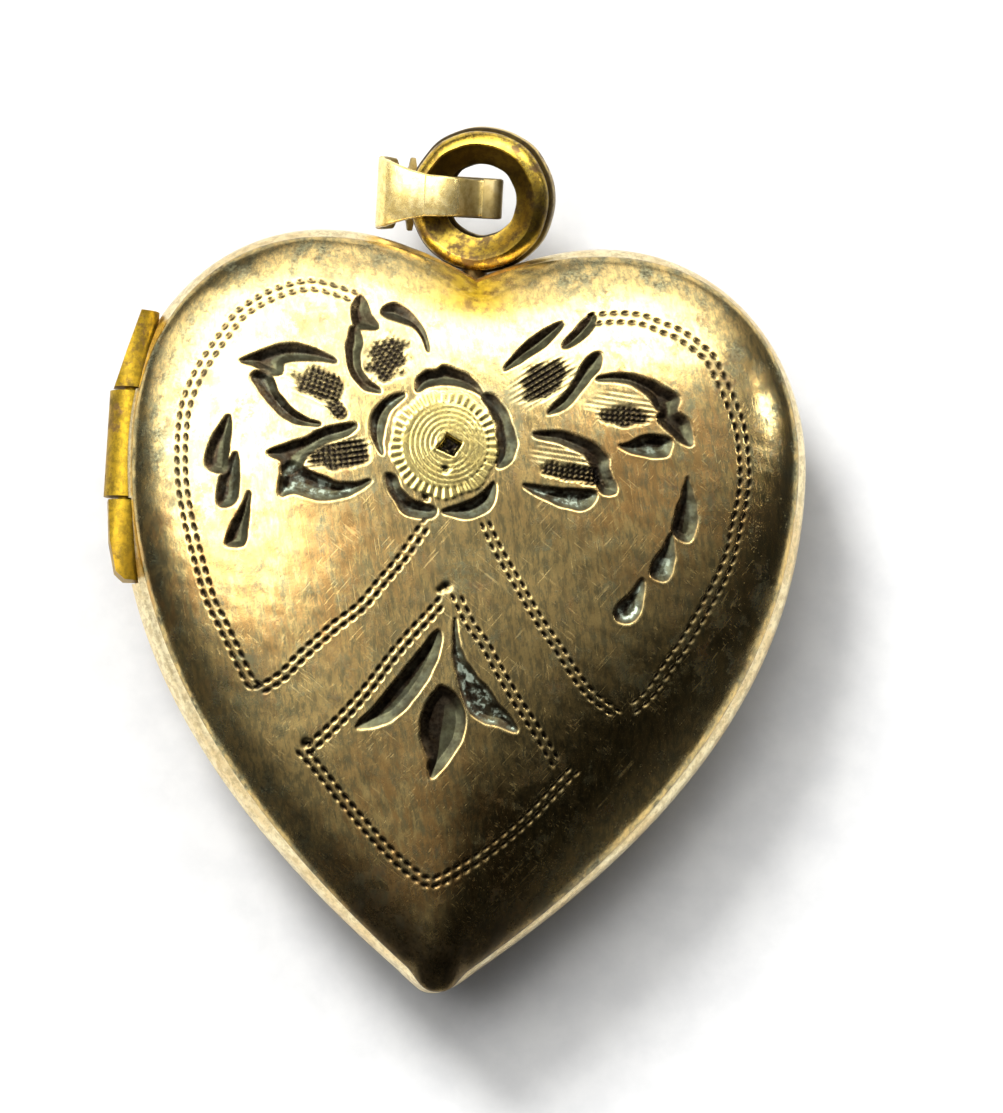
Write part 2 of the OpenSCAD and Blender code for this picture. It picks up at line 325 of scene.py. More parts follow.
# ---------------------------------------------------------------- engraving
# Drawn flat, as seen from the camera's side on the parting plane; drawn_at() carries it onto
# the dome. Each cut is a closed loop: (depth, verdigris, points).
CUTS = [
    (0.15, 0.2, [(-1.7, 7.1), (-1.65, 7.5), (-1.4, 7.75), (-1.1, 7.8), (-0.85, 7.97), (-0.4, 7.85),
                 (0.05, 7.65), (0.3, 7.4), (0.5, 7.1), (0.1, 7.3), (-0.4, 7.4), (-0.9, 7.4), (-1.3, 7.3)]),
    (0.15, 0.3, [(0.5, 7), (0.6, 7.15), (0.9, 7.05), (1.3, 6.6), (1.45, 6.2), (1.65, 5.7), (1.6, 5.3),
                 (1.45, 4.95), (1.1, 4.8), (1.1, 5.3), (1.05, 5.8), (1, 6.2), (0.8, 6.6)]),
    (0.15, 0.6, [(-2.1, 6.95), (-2.5, 6.85), (-2.9, 6.5), (-3.1, 6.1), (-3.1, 5.7), (-2.95, 5.3),
                 (-2.7, 4.95), (-2.75, 5.4), (-2.7, 5.9), (-2.55, 6.4), (-2.3, 6.7)]),
    (0.15, 0.5, [(-2.5, 4.3), (-2.45, 3.9), (-2.2, 3.5), (-1.9, 3.1), (-1.5, 2.98), (-1, 3),
                 (-0.85, 3.25), (-1.2, 3.4), (-1.6, 3.5), (-2, 3.8), (-2.2, 4.2)]),
    (0.15, 0.5, [(-0.6, 3.2), (-0.2, 3.4), (0.3, 3.6), (0.7, 3.9), (1, 4.25), (1.05, 3.9),
                 (0.95, 3.5), (0.6, 3.2), (0.2, 3.05), (-0.2, 3.1)]),
    (0.14, 0, [(-3.95, 9.8), (-3.75, 10.1), (-3.55, 9.95), (-3.4, 9.6), (-3.1, 9.1), (-3.6, 9.05),
               (-3.85, 9.1), (-3.95, 9.5)]),
    (0.14, 0, [(-3.95, 9), (-4.05, 8.6), (-4.05, 8.1), (-3.9, 7.6), (-3.6, 7.2), (-3.3, 7.03),
               (-2.9, 7), (-3.1, 7.2), (-3.35, 7.4), (-3.6, 7.8), (-3.65, 8.2), (-3.6, 8.6),
               (-3.75, 9)]),
    (0.14, 0.2, [(-3, 9.6), (-2.8, 9.85), (-2.5, 9.9), (-2.1, 9.7), (-1.7, 9.3), (-1.45, 8.8),
                 (-1.4, 8.45), (-1.6, 8.9), (-1.9, 9.2), (-2.3, 9.35), (-2.7, 9.45)]),
    (0.15, 0.2, [(-7.5, 7.7), (-7, 7.95), (-6.6, 8.15), (-6.2, 8.3), (-5.6, 8.35), (-5, 8.2),
                 (-4.4, 7.9), (-5, 7.9), (-5.6, 7.85), (-6.1, 7.75), (-6.15, 7.4), (-6.4, 7.33),
                 (-6.8, 7.45), (-7.1, 7.6)]),
    (0.15, 0.4, [(-6.95, 7.38), (-6.6, 7.38), (-6.4, 7.1), (-6.2, 6.7), (-5.7, 6.2), (-5.3, 5.95),
                 (-4.8, 5.8), (-5.2, 5.75), (-5.8, 5.85), (-6.3, 6.2), (-6.7, 6.6), (-7, 7),
                 (-7.1, 7.2)]),
    (0.13, 0.2, [(-6.4, 4.75), (-5.7, 5.1), (-5.2, 5.3), (-4.8, 5.55), (-4.3, 5.75), (-3.6, 5.85),
                 (-3.9, 5.5), (-4.6, 5.2), (-5.1, 4.8), (-5.4, 4.35), (-5.9, 4.1), (-6, 4.5)]),
    (0.15, 0.7, [(-5.95, 3.4), (-5.5, 3.5), (-4.8, 3.35), (-4.2, 3.4), (-3.6, 3.6), (-3.05, 4.05),
                 (-3.4, 3.95), (-4, 3.9), (-4.4, 4), (-5, 4.2), (-5.6, 4.5), (-5.9, 4.2)]),
    (0.13, 0.1, [(-7.75, 5.85), (-8.2, 5.2), (-8.4, 4.6), (-8.4, 4.2), (-8.2, 4.03), (-7.8, 4.05),
                 (-7.75, 4.5)]),
    (0.13, 0.4, [(-7.45, 4.65), (-7.85, 4), (-7.95, 3.4), (-7.95, 3), (-7.8, 2.9), (-7.45, 3.05),
                 (-7.35, 3.5)]),
    (0.13, 0.1, [(-6.95, 3.35), (-7.1, 3), (-7.45, 2.3), (-7.6, 1.75), (-7.5, 1.63), (-7.15, 1.65),
                 (-7, 1.9)]),
    (0.13, 0, [(1.15, 8), (1.45, 8.5), (1.9, 9), (2.4, 9.4), (2.95, 9.7), (2.75, 9.3), (2.3, 8.8),
               (1.8, 8.45)]),
    (0.13, 0, [(3, 8.9), (3.2, 9.2), (3.5, 9.6), (3.85, 10), (4, 10), (4, 9.75), (3.8, 9.4),
               (3.5, 9.1), (3.2, 8.9)]),
    (0.14, 0.1, [(2.65, 6.65), (2.9, 7), (3.3, 7.5), (3.55, 8), (3.8, 8.5), (4.15, 8.75), (4.3, 8.65),
                 (4.25, 8.3), (3.95, 7.9), (3.6, 7.4), (3.2, 6.9)]),
    (0.15, 0.1, [(4.2, 7.9), (4.6, 8.05), (5.2, 8.1), (5.9, 7.98), (6.4, 7.75), (6.9, 7.5), (6.9, 7),
                 (7.3, 6.7), (7.45, 6), (7.1, 6.05), (6.7, 6.35), (6.3, 6.7), (6.35, 7), (6.2, 7.1),
                 (5.9, 7.5), (5.4, 7.8), (4.8, 7.9)]),
    (0.15, 0.6, [(5.05, 5.75), (5.4, 5.85), (5.8, 6.1), (6.2, 6.15), (6.7, 6.1), (6.75, 5.8),
                 (6.6, 5.55), (6, 5.5), (5.5, 5.6)]),
    (0.14, 0.2, [(2.25, 5.98), (2.7, 6.05), (3.2, 6.05), (3.8, 5.9), (4.3, 5.7), (4.7, 5.3),
                 (4.75, 4.95), (5, 4.5), (5, 4.2), (4.5, 4.25), (4.1, 5.2), (3.7, 5.5), (3, 5.75),
                 (2.4, 5.85)]),
    (0.15, 0.7, [(2, 4.25), (2.5, 3.95), (3.2, 3.7), (3.9, 3.6), (4.25, 3.8), (4.35, 4.15),
                 (3.7, 4.2), (2.8, 4.2)]),
    (0.14, 0.3, [(7.35, 4.85), (7.25, 4.3), (7.05, 3.6), (7, 3), (7.5, 2.8), (7.7, 3.2), (7.7, 3.9),
                 (7.5, 4.5)]),
    (0.14, 0.6, [(6.95, 2.95), (6.7, 2.5), (6.4, 2), (6.35, 1.6), (6.7, 1.45), (6.95, 1.6),
                 (7.05, 2.2)]),
    (0.14, 0.8, [(6.05, 1.4), (5.7, 0.9), (5.3, 0.5), (5.25, 0.1), (5.7, 0), (6, 0.3), (6.1, 0.9)]),
    (0.16, 0.2, [(-0.55, -0.7), (-0.45, -1.2), (-0.65, -1.9), (-1, -2.6), (-1.5, -3.3), (-2.1, -3.8),
                 (-3, -4), (-2.5, -3.4), (-2, -2.7), (-1.5, -2), (-1, -1.3)]),
    (0.16, 0.1, [(-0.3, -2.5), (0.2, -2.8), (0.45, -3.3), (0.45, -4), (0.2, -4.6), (-0.2, -5.2),
                 (-0.5, -5.45), (-0.6, -4.9), (-0.85, -4.3), (-0.9, -3.7), (-0.75, -3.1),
                 (-0.5, -2.7)]),
    (0.16, 1, [(0, -0.3), (0.2, -1.2), (0.7, -2), (1.2, -2.5), (1.6, -3), (2, -3.4), (2.2, -3.8),
               (1.6, -3.65), (1.1, -3.55), (0.6, -3.2), (0.3, -2.5), (0.1, -1.8), (0, -1)]),
]
# Hatched patches on the petals: middle, half length, half width, direction in degrees
HATCHES = [
    ((-2.7, 8.1), 0.75, 0.6, 60),
    ((-4.85, 7.1), 0.85, 0.5, -15),
    ((-4.25, 6.3), 0.4, 0.25, -40),
    ((-4.05, 4.85), 1.0, 0.45, 10),
    ((2.5, 7.75), 0.85, 0.5, 35),
    ((5.15, 6.75), 0.75, 0.35, 0),
    ((3.6, 4.75), 1.1, 0.3, -5),
]
# Pads of fine parallel lines round the dark patches
PADS = [
    ((-2.75, 8.1), 1.0, 0.75, 60),
    ((-5, 7.0), 1.25, 0.7, -20),
    ((-4.3, 4.9), 1.4, 0.6, 15),
    ((2.45, 7.7), 1.3, 0.75, 35),
    ((5.1, 7.0), 1.2, 0.65, -5),
    ((3.3, 5.2), 1.2, 0.6, -5),
]
# Stitched double lines: distance of the second row, and the first row's points
STITCHES = [
    (0.28, [(-3.9, 10.2), (-4.9, 10.45), (-5.6, 10.45), (-6.6, 10.1), (-7.5, 9.5), (-8, 8.9),
            (-8.9, 7.4), (-9.3, 6.3), (-9.4, 5.5), (-9.4, 4.5), (-9.3, 3.5), (-9.1, 2.6),
            (-8.8, 1.6), (-8.2, -0.1), (-7.7, -1), (-7.2, -1.9), (-6.7, -2.8), (-6.4, -3.05)]),
    (-0.26, [(-6.3, -2.9), (-5.6, -2.4), (-5, -1.7), (-4, -0.7), (-3.2, 0), (-2.6, 0.8), (-2, 1.6),
             (-1.2, 2.9)]),
    (-0.3, [(3.9, 10), (4.4, 10.1), (5.1, 10.15), (5.7, 10.1), (6.3, 9.9), (6.9, 9.7), (7.7, 9.2),
            (8.1, 8.8), (8.8, 7.5), (9.2, 6.5), (9.4, 5.1), (9.35, 4.2), (9.2, 3.3), (9, 2.2),
            (8.6, 1.2), (7.8, -0.4), (7.2, -1.4), (6.6, -2.4), (6.1, -2.9)]),
    (0.25, [(5.5, -2.9), (4.5, -2.2), (3.5, -0.9), (2.8, 0), (2, 1.2), (1.4, 2.1), (0.9, 3)]),
    (0.26, [(-0.6, 0.3), (-1, -0.2), (-1.5, -0.8), (-2.1, -1.6), (-2.7, -2.5), (-3.3, -3.3),
            (-4, -4.1), (-4.7, -4.8)]),
    (0.26, [(-4.8, -5), (-4.2, -5.6), (-3.3, -6.6), (-2, -7.9), (-1, -8.7), (-0.2, -9), (1, -8.3),
            (2, -7.5), (3, -6.5), (4, -5.3), (4.4, -4.9)]),
    (0.26, [(-0.1, 0.4), (0.4, -0.5), (0.9, -1.1), (1.4, -1.9), (2, -2.8), (2.6, -3.6),
            (3.1, -4.3), (3.5, -4.9)]),
]
# How far a cut spreads past its drawn edge, how steeply its sides fall, and its raised lip
CUT_SPREAD, CUT_SLOPE, LIP_RISE = 0.08, 0.5, 0.002
# The fine lines of pads and hatches: pitch across and along them, and depth
PAD_PITCH, PAD_DEPTH = 0.17, 0.012
HATCH_ACROSS, HATCH_ALONG, HATCH_DEPTH = 0.17, 0.18, 0.03
# Stitches: from one pit to the next, and a pit's half length, half width and depth
STITCH_PITCH = 0.37
STITCH_LENGTH, STITCH_WIDTH, STITCH_DEPTH = 0.12, 0.06, 0.045
# The rosette: its middle, the middle of its turned rings, their pitch and outer edge, the
# border's inner edge and notches, and the drilled eye's middle and half width
ROSETTE, ROSETTE_R = np.array([-0.7, 5.4]), 1.85
ROSETTE_TURNING = np.array([-0.55, 5.45])
TURNED_PITCH, TURNED_R = 0.165, 1.3
BORDER_R, ROSETTE_TICKS = 1.35, 40
ROSETTE_EYE, EYE_HALF = np.array([-0.5, 5.4]), 0.34
# Single punched dots: place, radius, depth
PUNCHES = [
    ((-0.6, 4.6), 0.1, 0.08),
    ((-1.2, 3.6), 0.1, 0.08),
    ((-0.35, 0.75), 0.14, 0.08),
    ((-0.55, 0.62), 0.1, 0.06),
    ((-4.6, -4.65), 0.13, 0.08),
]


def drawn_at(points):
    """Where the line from the eye through each point meets the parting plane."""
    reach = EYE[2] / (EYE[2] - points[:, 2])
    return EYE[:2] + (points[:, :2] - EYE[:2]) * reach[:, None]


def inside_distance(p, loop):
    """Distance of points from a closed loop, positive inside it."""
    a = loop
    b = np.roll(loop, -1, 0)
    ab = b - a
    ap = p[:, None] - a
    t = np.clip((ap * ab).sum(2) / (ab * ab).sum(1), 0, 1)
    gap = np.linalg.norm(ap - t[..., None] * ab, axis=2).min(1)
    y = p[:, 1:2]
    spans = (a[:, 1] > y) != (b[:, 1] > y)
    rise = np.where(np.abs(ab[:, 1]) < 1e-9, 1e-9, ab[:, 1])
    crossing = a[:, 0] + ab[:, 0] * (y - a[:, 1]) / rise
    inside = (spans & (p[:, 0:1] < crossing)).sum(1) % 2 == 1
    return np.where(inside, gap, -gap)


def near(p, low, high, margin):
    """Numbers of the points inside a box and its margin."""
    return np.flatnonzero(
        ((p > np.asarray(low) - margin) & (p < np.asarray(high) + margin)).all(1)
    )


def in_patch(p, middle, length, width, degrees):
    """Distance from a patch's middle, 1 at its edge, and the place along and across it."""
    angle = math.radians(degrees)
    d = p - np.array(middle)
    along = d @ (math.cos(angle), math.sin(angle))
    across = d @ (-math.sin(angle), math.cos(angle))
    return np.hypot(along / length, across / width), along, across


def grooves(place, pitch):
    """1 at the middle of each of a row of fine lines, 0 between them."""
    return 0.5 + 0.5 * np.cos(2 * math.pi * place / pitch)


# The side of each cut whose face looks up at the window, and how far a step that way reaches
LIT_SIDE, LIT_STEP = np.array([0.82, -0.57]), 0.05
# Where the gold has rubbed to copper: places on the cover and how far each spreads
WARM_PLACES = [((-5.5, 1), 3), ((6, 4.5), 3.2), ((-1, -7.5), 3), ((-9.2, 0.5), 1.6)]


class Relief:
    """What engraving does to a surface: its heights (mm, outwards) and its tints."""

    def __init__(self, points):
        self.p = drawn_at(points)
        self.height = np.zeros(len(points))
        self.wobble = undulation(self.p, 0.5, 3)
        self.tints = {
            key: np.zeros(len(points))
            for key in ("grime_and_shade", "soot_and_shade", "green", "burnish_and_highlight", "lit_wall", "flower")
        }

    def tint(self, key, use, amount):
        self.tints[key][use] = np.maximum(self.tints[key][use], amount)


def engrave(relief):
    """All of the front cover's engraving, in the order it would be cut."""
    for pad in PADS:
        line_pad(relief, *pad)
    for hatch in HATCHES:
        cross_hatch(relief, *hatch)
    for depth, verdigris, corners in CUTS:
        bright_cut(relief, depth, verdigris, smooth_line(corners, 4, closed=True))
    rosette(relief)
    for beside, corners in STITCHES:
        line = smooth_line(corners, 12)
        step = np.gradient(line, axis=0)
        step /= np.linalg.norm(step, axis=1)[:, None]
        stitch(relief, line, 0)
        stitch(relief, line + beside * np.stack([-step[:, 1], step[:, 0]], 1), 0.5)
    for middle, radius, depth in PUNCHES:
        use = near(relief.p, middle, middle, 3 * radius)
        bowl = np.exp(-(((relief.p[use] - middle) / radius) ** 2).sum(1))
        relief.height[use] -= depth * bowl
        # The punched dots go dark: soiling, and painted shade in them
        relief.tint("soot_and_shade", use, bowl)


def line_pad(relief, middle, length, width, degrees):
    """A pad of fine parallel lines."""
    use = near(relief.p, middle, middle, length + 0.2)
    r, _, across = in_patch(relief.p[use], middle, length, width, degrees)
    on = 1 - fade(r + 0.07 * relief.wobble[use], 0.7, 1.05)
    line = grooves(across, PAD_PITCH) * on
    relief.height[use] -= PAD_DEPTH * line
    relief.tint("grime_and_shade", use, 0.4 * line**2)
    # The pads are paler: burnish, and a painted highlight
    relief.tint("burnish_and_highlight", use, 0.5 * on)


def cross_hatch(relief, middle, length, width, degrees):
    """A patch of crossing lines, black with old polish."""
    use = near(relief.p, middle, middle, length + 0.2)
    r, along, across = in_patch(relief.p[use], middle, length, width, degrees)
    on = 1 - fade(r + 0.12 * relief.wobble[use], 0.85, 1.2)
    net = 1 - (1 - grooves(across, HATCH_ACROSS)) * (1 - grooves(along, HATCH_ALONG))
    relief.height[use] -= HATCH_DEPTH * net * on
    relief.tint("soot_and_shade", use, on * (0.88 + 0.12 * net))


def bright_cut(relief, depth, verdigris, loop):
    """A leaf or drop cut with a flat graver: sloping sides, painted shade on one and a painted lit tint on
    the other, and a raised lip with a painted highlight.
    """
    use = near(relief.p, loop.min(0), loop.max(0), 0.3)
    depth_in = inside_distance(relief.p[use], loop)
    beyond = inside_distance(relief.p[use] + LIT_STEP * LIT_SIDE, loop)
    lit = fade((depth_in - beyond) / LIT_STEP, -0.1, 0.8)
    d = depth_in + CUT_SPREAD + 0.01 * relief.wobble[use]
    relief.height[use] -= np.minimum(np.maximum(d, 0) * CUT_SLOPE, depth)
    relief.height[use] += LIP_RISE * np.exp(-(((d + 0.05) / 0.04) ** 2))
    relief.tint("grime_and_shade", use, fade(d, 0.0, 0.06))
    # Painted shade on the wall turned away from the light, a painted lit tint on the wall facing it
    relief.tint("soot_and_shade", use, 0.6 * fade(d, 0.1, 0.24) * (1 - lit))
    relief.tint("lit_wall", use, lit * fade(d, 0.01, 0.08))
    relief.tint("green", use, verdigris * fade(d, 0.05, 0.2))
    # Painted highlight on the lip, stronger on the lit side
    lip = np.exp(-(((d + 0.03) / 0.05) ** 2)) * fade(relief.wobble[use], -1, 1.5)
    relief.tint("burnish_and_highlight", use, (0.1 + 0.35 * lit) * lip)


def rosette(relief):
    """The flower's middle: turned rings, a notched border and a drilled eye."""
    use = near(relief.p, ROSETTE, ROSETTE, ROSETTE_R + 0.3)
    q = relief.p[use]
    d = q - ROSETTE
    from_middle = np.linalg.norm(d, axis=1)
    turn_round = np.arctan2(d[:, 1], d[:, 0])
    edge = ROSETTE_R - 0.04 + 0.05 * np.cos(9 * turn_round + 1)
    on = 1 - fade(from_middle, edge - 0.1, edge)
    around_eye = np.linalg.norm(q - ROSETTE_TURNING, axis=1)
    rings = grooves(around_eye, TURNED_PITCH) * (1 - fade(around_eye, TURNED_R, TURNED_R + 0.15))
    beads = 0.5 + 0.5 * np.cos(turn_round * np.round(around_eye * 30))
    border = fade(from_middle, BORDER_R, BORDER_R + 0.1)
    ticks = grooves(turn_round * ROSETTE_TICKS / (2 * math.pi), 1) * border
    relief.height[use] += on * (0.03 - 0.013 * rings * (0.5 + 0.5 * beads) - 0.022 * ticks)
    for key in ("grime_and_shade", "green", "soot_and_shade", "lit_wall"):
        relief.tints[key][use] *= 1 - on
    relief.tint("grime_and_shade", use, on * (0.55 * rings**2 * (0.4 + 0.6 * beads) + 0.45 * ticks**2))
    relief.tint("flower", use, on)
    e = q - ROSETTE_EYE
    hole = np.abs(e[:, 0] * 0.8 + e[:, 1] * 0.3) + np.abs(e[:, 1] - 0.3 * e[:, 0])
    drilled = 1 - fade(hole + 0.03 * relief.wobble[use], EYE_HALF - 0.08, EYE_HALF + 0.08)
    relief.height[use] -= 0.2 * drilled
    relief.height[use] += 0.02 * np.exp(-(((hole - EYE_HALF - 0.13) / 0.06) ** 2))
    # The drilled eye goes black: painted shade in the hole
    relief.tint("soot_and_shade", use, drilled)


def stitch(relief, line, phase):
    """A row of short pits along a line."""
    step = np.linalg.norm(np.diff(line, axis=0), axis=1)
    length = np.concatenate([[0], np.cumsum(step)])

    def at(distance):
        return np.array([np.interp(distance, length, line[:, k]) for k in (0, 1)])

    for distance in np.arange(STITCH_PITCH * phase, length[-1], STITCH_PITCH):
        middle = at(distance)
        along = at(distance + 0.1) - at(distance - 0.1)
        along /= np.linalg.norm(along)
        use = near(relief.p, middle, middle, 0.32)
        d = relief.p[use] - middle
        u = (d @ along) / STITCH_LENGTH
        v = (d @ (-along[1], along[0])) / STITCH_WIDTH
        pit = np.exp(-((u * u + v * v) ** 1.5))
        lip = np.exp(-(u * u + 2 * (np.abs(v) - 1.8) ** 2))
        relief.height[use] += LIP_RISE * lip - STITCH_DEPTH * pit
        relief.tint("grime_and_shade", use, 0.8 * pit**0.6)
        # Pits go black, darker towards the lower right: soiling, and painted shade
        relief.tint("soot_and_shade", use, pit**0.6 * (0.35 + 0.65 * fade(middle[1] - middle[0] / 2, 9, 2)))
        # Painted highlight on the lips beside each pit
        relief.tint("burnish_and_highlight", use, 0.15 * lip)


# ---------------------------------------------------------------- covers
# How far out the even net of triangles goes, and how many rows of quads follow it
NET_END, FLANK_ROWS = 0.925, 12
# Scales of the rows of points inside the shell
INNER_SCALES = (0.97, 0.93, 0.87, 0.8, 0.7, 0.58, 0.44, 0.3, 0.15, 0.05)
# Long and short unevenness of the sheet: wavelength and height
LONG_WAVE, SHORT_WAVE = (3.5, 0.009), (0.9, 0.0022)
HIGHEST_BUMP = 0.03


def dome_net(rings, rise):
    """Points, scales and triangles from the crown to NET_END, each ring with eight more points."""
    points = [at_height(CENTRE[None], HALF_DEPTH)]
    scales = [[0.0]]
    faces = []
    sector = np.arange(8)[:, None]
    inner_start = 0
    for j in range(1, rings + 1):
        s = NET_END * j / rings
        row = dome_row(even(DOME_FOOT, 8 * j), s)
        points.append(at_height(row, dome_z(s, rise)))
        scales.append([s] * len(row))
        start = inner_start + max(1, 8 * (j - 1))
        k = np.arange(j)
        outer = start + (sector * j + k) % (8 * j)
        outer_next = start + (sector * j + k + 1) % (8 * j)
        if j == 1:
            faces.append(np.stack([outer_next, outer, outer * 0], 2).reshape(-1, 3))
        else:
            inner = inner_start + (sector * (j - 1) + k) % (8 * (j - 1))
            faces.append(np.stack([outer_next, outer, inner], 2).reshape(-1, 3))
            m = np.arange(j - 1)
            first = inner_start + (sector * (j - 1) + m) % (8 * (j - 1))
            second = inner_start + (sector * (j - 1) + m + 1) % (8 * (j - 1))
            out = start + (sector * j + m + 1) % (8 * j)
            faces.append(np.stack([out, first, second], 2).reshape(-1, 3))
        inner_start = start
    return np.concatenate(points), np.concatenate(scales), np.concatenate(faces)


def surface_normals(points, triangles):
    """Unit normals at the points, each the mean over its triangles."""
    corner = points[triangles]
    face_normal = np.cross(corner[:, 1] - corner[:, 0], corner[:, 2] - corner[:, 0])
    normal = np.zeros_like(points)
    for k in range(3):
        np.add.at(normal, triangles[:, k], face_normal)
    return normal / (np.linalg.norm(normal, axis=1)[:, None] + 1e-12)


def add_wear(tints, points, scale, front):
    """Painted shade at the tip, solder in the crease, patina near the edge, and the rubbed places."""
    # Painted shade: the lower flank near the tip is darkened
    tip_shade = 0.88 * fade(points[:, 1], -6, -11) * fade(scale, 0.7, 0.95)
    tints["grime_and_shade"] = np.maximum(tints["grime_and_shade"], tip_shade)
    crease = np.exp(-((points[:, 0] + 0.1) ** 2) / 2.4) * fade(points[:, 1], 8.5, 10)
    tints["crease"] = crease * (1 if front else 0.3)
    tints["edge"] = fade(scale, 0.84, 0.95)
    warm = sum(
        np.exp(-((points[:, :2] - place) ** 2).sum(1) / size**2) for place, size in WARM_PLACES
    )
    tints["warm"] = np.minimum(warm, 1)


def underside(count, start, edge_start, rise):
    """The shell's inside: rows of count points, and faces that join them to the outer edge.

    start is the number of the first point made here, and edge_start the number of the outer
    edge's first point. The outer edge has eight times as many points.
    """
    rows = [at_height(even(WALL, count), RIM_H)]
    for s in INNER_SCALES:
        rows.append(at_height(dome_row(even(WALL, count), s), dome_z(s, rise - SHELL_T)))
    rows.append(at_height(CENTRE[None], dome_z(0, rise - SHELL_T)))
    points = np.concatenate(rows)
    wall = np.arange(count)
    next_wall = (wall + 1) % count
    edge = [edge_start + (8 * wall + k) % (8 * count) for k in range(9)]
    triangles = []
    for k in range(8):
        foot = wall if k < 4 else next_wall
        triangles.append(np.stack([edge[k], edge[k + 1], start + foot], 1))
    triangles.append(np.stack([start + wall, edge[4], start + next_wall], 1))
    last_row = start + len(INNER_SCALES) * count
    crown = start + len(points) - 1
    triangles.append(np.stack([last_row + wall, last_row + next_wall, wall * 0 + crown], 1))
    quads = np.array(ring_faces(len(INNER_SCALES) + 1, count)) + start
    return points, np.concatenate(triangles), quads


def cover(node, body, rings, front):
    """A domed shell: an even net of triangles on its face, coarser rows inside it."""
    rise = HALF_DEPTH - RIM_H
    edge_count = 8 * rings
    points, scale, net = dome_net(rings, rise)
    flank_start = len(points) - edge_count
    left = 1 - np.arange(1, FLANK_ROWS + 1) / FLANK_ROWS
    flank = 1 - (1 - NET_END) * left**1.9
    rows = [at_height(dome_row(even(DOME_FOOT, edge_count), s), dome_z(s, rise)) for s in flank]
    points = np.concatenate([points, *rows])
    scale = np.concatenate([scale, np.repeat(flank, edge_count)])
    quads = np.array(ring_faces(FLANK_ROWS + 1, edge_count)) + flank_start
    normal = surface_normals(
        points, np.concatenate([net, quads[:, [0, 1, 2]], quads[:, [0, 2, 3]]])
    )

    held = fade(scale, 1, 0.97)
    seed = 5 if front else 6
    height = LONG_WAVE[1] * undulation(points, LONG_WAVE[0], seed) * held
    height += SHORT_WAVE[1] * undulation(points, SHORT_WAVE[0], seed + 2) * held
    relief = Relief(points)
    if front:
        engrave(relief)
    height = np.minimum(height + relief.height, HIGHEST_BUMP)
    points = points + normal * height[:, None]
    add_wear(relief.tints, points, scale, front)

    count = len(points)
    inner, inner_triangles, inner_quads = underside(rings, count, count - edge_count, rise)
    unmarked = np.zeros(len(inner))
    tints = {key: np.concatenate([value, unmarked]) for key, value in relief.tints.items()}
    tints["edge"][count:] = 0.6
    points = np.concatenate([points, inner]) * (1, 1, 1 if front else -1)
    faces = []
    for group in (net, inner_triangles, quads, inner_quads):
        faces += group.tolist()
    if not front:
        faces = [face[::-1] for face in faces]
    return build(node, points, faces, body, SHARP_EDGE, tints)


# The name that each half's nodes start with, its body, and whether it is the front
HALVES = (("front", "front_half", True), ("rear", "back_half", False))
ENGRAVED_RINGS, QUICK_RINGS, PLAIN_RINGS = 230, 90, 70

covers = []
for half, body, front in HALVES:
    rings = PLAIN_RINGS
    if front:
        rings = ENGRAVED_RINGS
    covers.append(cover(half + "_cover", body, rings, front))


# ---------------------------------------------------------------- swept and turned pieces
def applied(piece, modifier):
    """Bakes one modifier into the piece's mesh."""
    depsgraph = bpy.context.evaluated_depsgraph_get()
    mesh = bpy.data.meshes.new_from_object(piece.evaluated_get(depsgraph))
    piece.modifiers.remove(modifier)
    old = piece.data
    piece.data = mesh
    bpy.data.meshes.remove(old)


def lathe(rows, n):
    """Points and faces turned about an axis; rows are (distance along it, radius)."""
    angle = 2 * math.pi * np.arange(n) / n
    points = [
        np.stack([r * np.cos(angle), np.full(n, y), r * np.sin(angle)], 1) for y, r in rows
    ]
    return np.concatenate(points), ring_faces(len(rows), n)


def cut_channel(piece, steps):
    """Cuts the hinge's channel: steps are (y, radius) along the hinge line."""
    rows = [(steps[0][0], 0.001), *steps, (steps[-1][0], 0.001)]
    points, faces = lathe(rows, 64)
    mesh = bpy.data.meshes.new("channel")
    mesh.from_pydata(world(points + (HINGE_X, 0, 0)).tolist(), [], faces)
    cutter = bpy.data.objects.new("channel", mesh)
    bpy.context.scene.collection.objects.link(cutter)
    fill = bmesh.new()
    fill.from_mesh(mesh)
    bmesh.ops.holes_fill(fill, edges=fill.edges)
    bmesh.ops.recalc_face_normals(fill, faces=fill.faces)
    fill.to_mesh(mesh)
    fill.free()
    modifier = piece.modifiers.new("channel", "BOOLEAN")
    modifier.object = cutter
    modifier.operation = "DIFFERENCE"
    modifier.solver = "EXACT"
    applied(piece, modifier)
    bpy.data.objects.remove(cutter)


def heart_ring(node, rows, n, body, front, channel=None):
    """A closed heart-shaped ring whose section is a loop of (outline, height)."""
    side = 1 if front else -1
    points = np.concatenate([at_height(even(outline, n), z * side) for outline, z in rows])
    piece = build(node, points, ring_faces(len(rows), n, True), body)
    fix_normals(piece)
    if channel:
        cut_channel(piece, channel)
    piece.data.shade_smooth()
    piece.data.set_sharp_from_angle(angle=math.radians(SHARP_RING))
    return piece


def tight_and_loose(own_middle):
    """The rim's hinge channel: tight round its own knuckles, loose round the other half's."""
    outer, middle = (LOOSE_R, KNUCKLE_R) if own_middle else (KNUCKLE_R, LOOSE_R)
    return [
        (HINGE_LOW - 0.1, outer),
        (SPLIT_LOW, outer),
        (SPLIT_LOW, middle),
        (SPLIT_HIGH, middle),
        (SPLIT_HIGH, outer),
        (HINGE_HIGH + 0.1, outer),
    ]


def between(share):
    """Outline part of the way from the locket's edge in to the dome's foot."""
    return (1 - share) * OUTLINE + share * DOME_FOOT


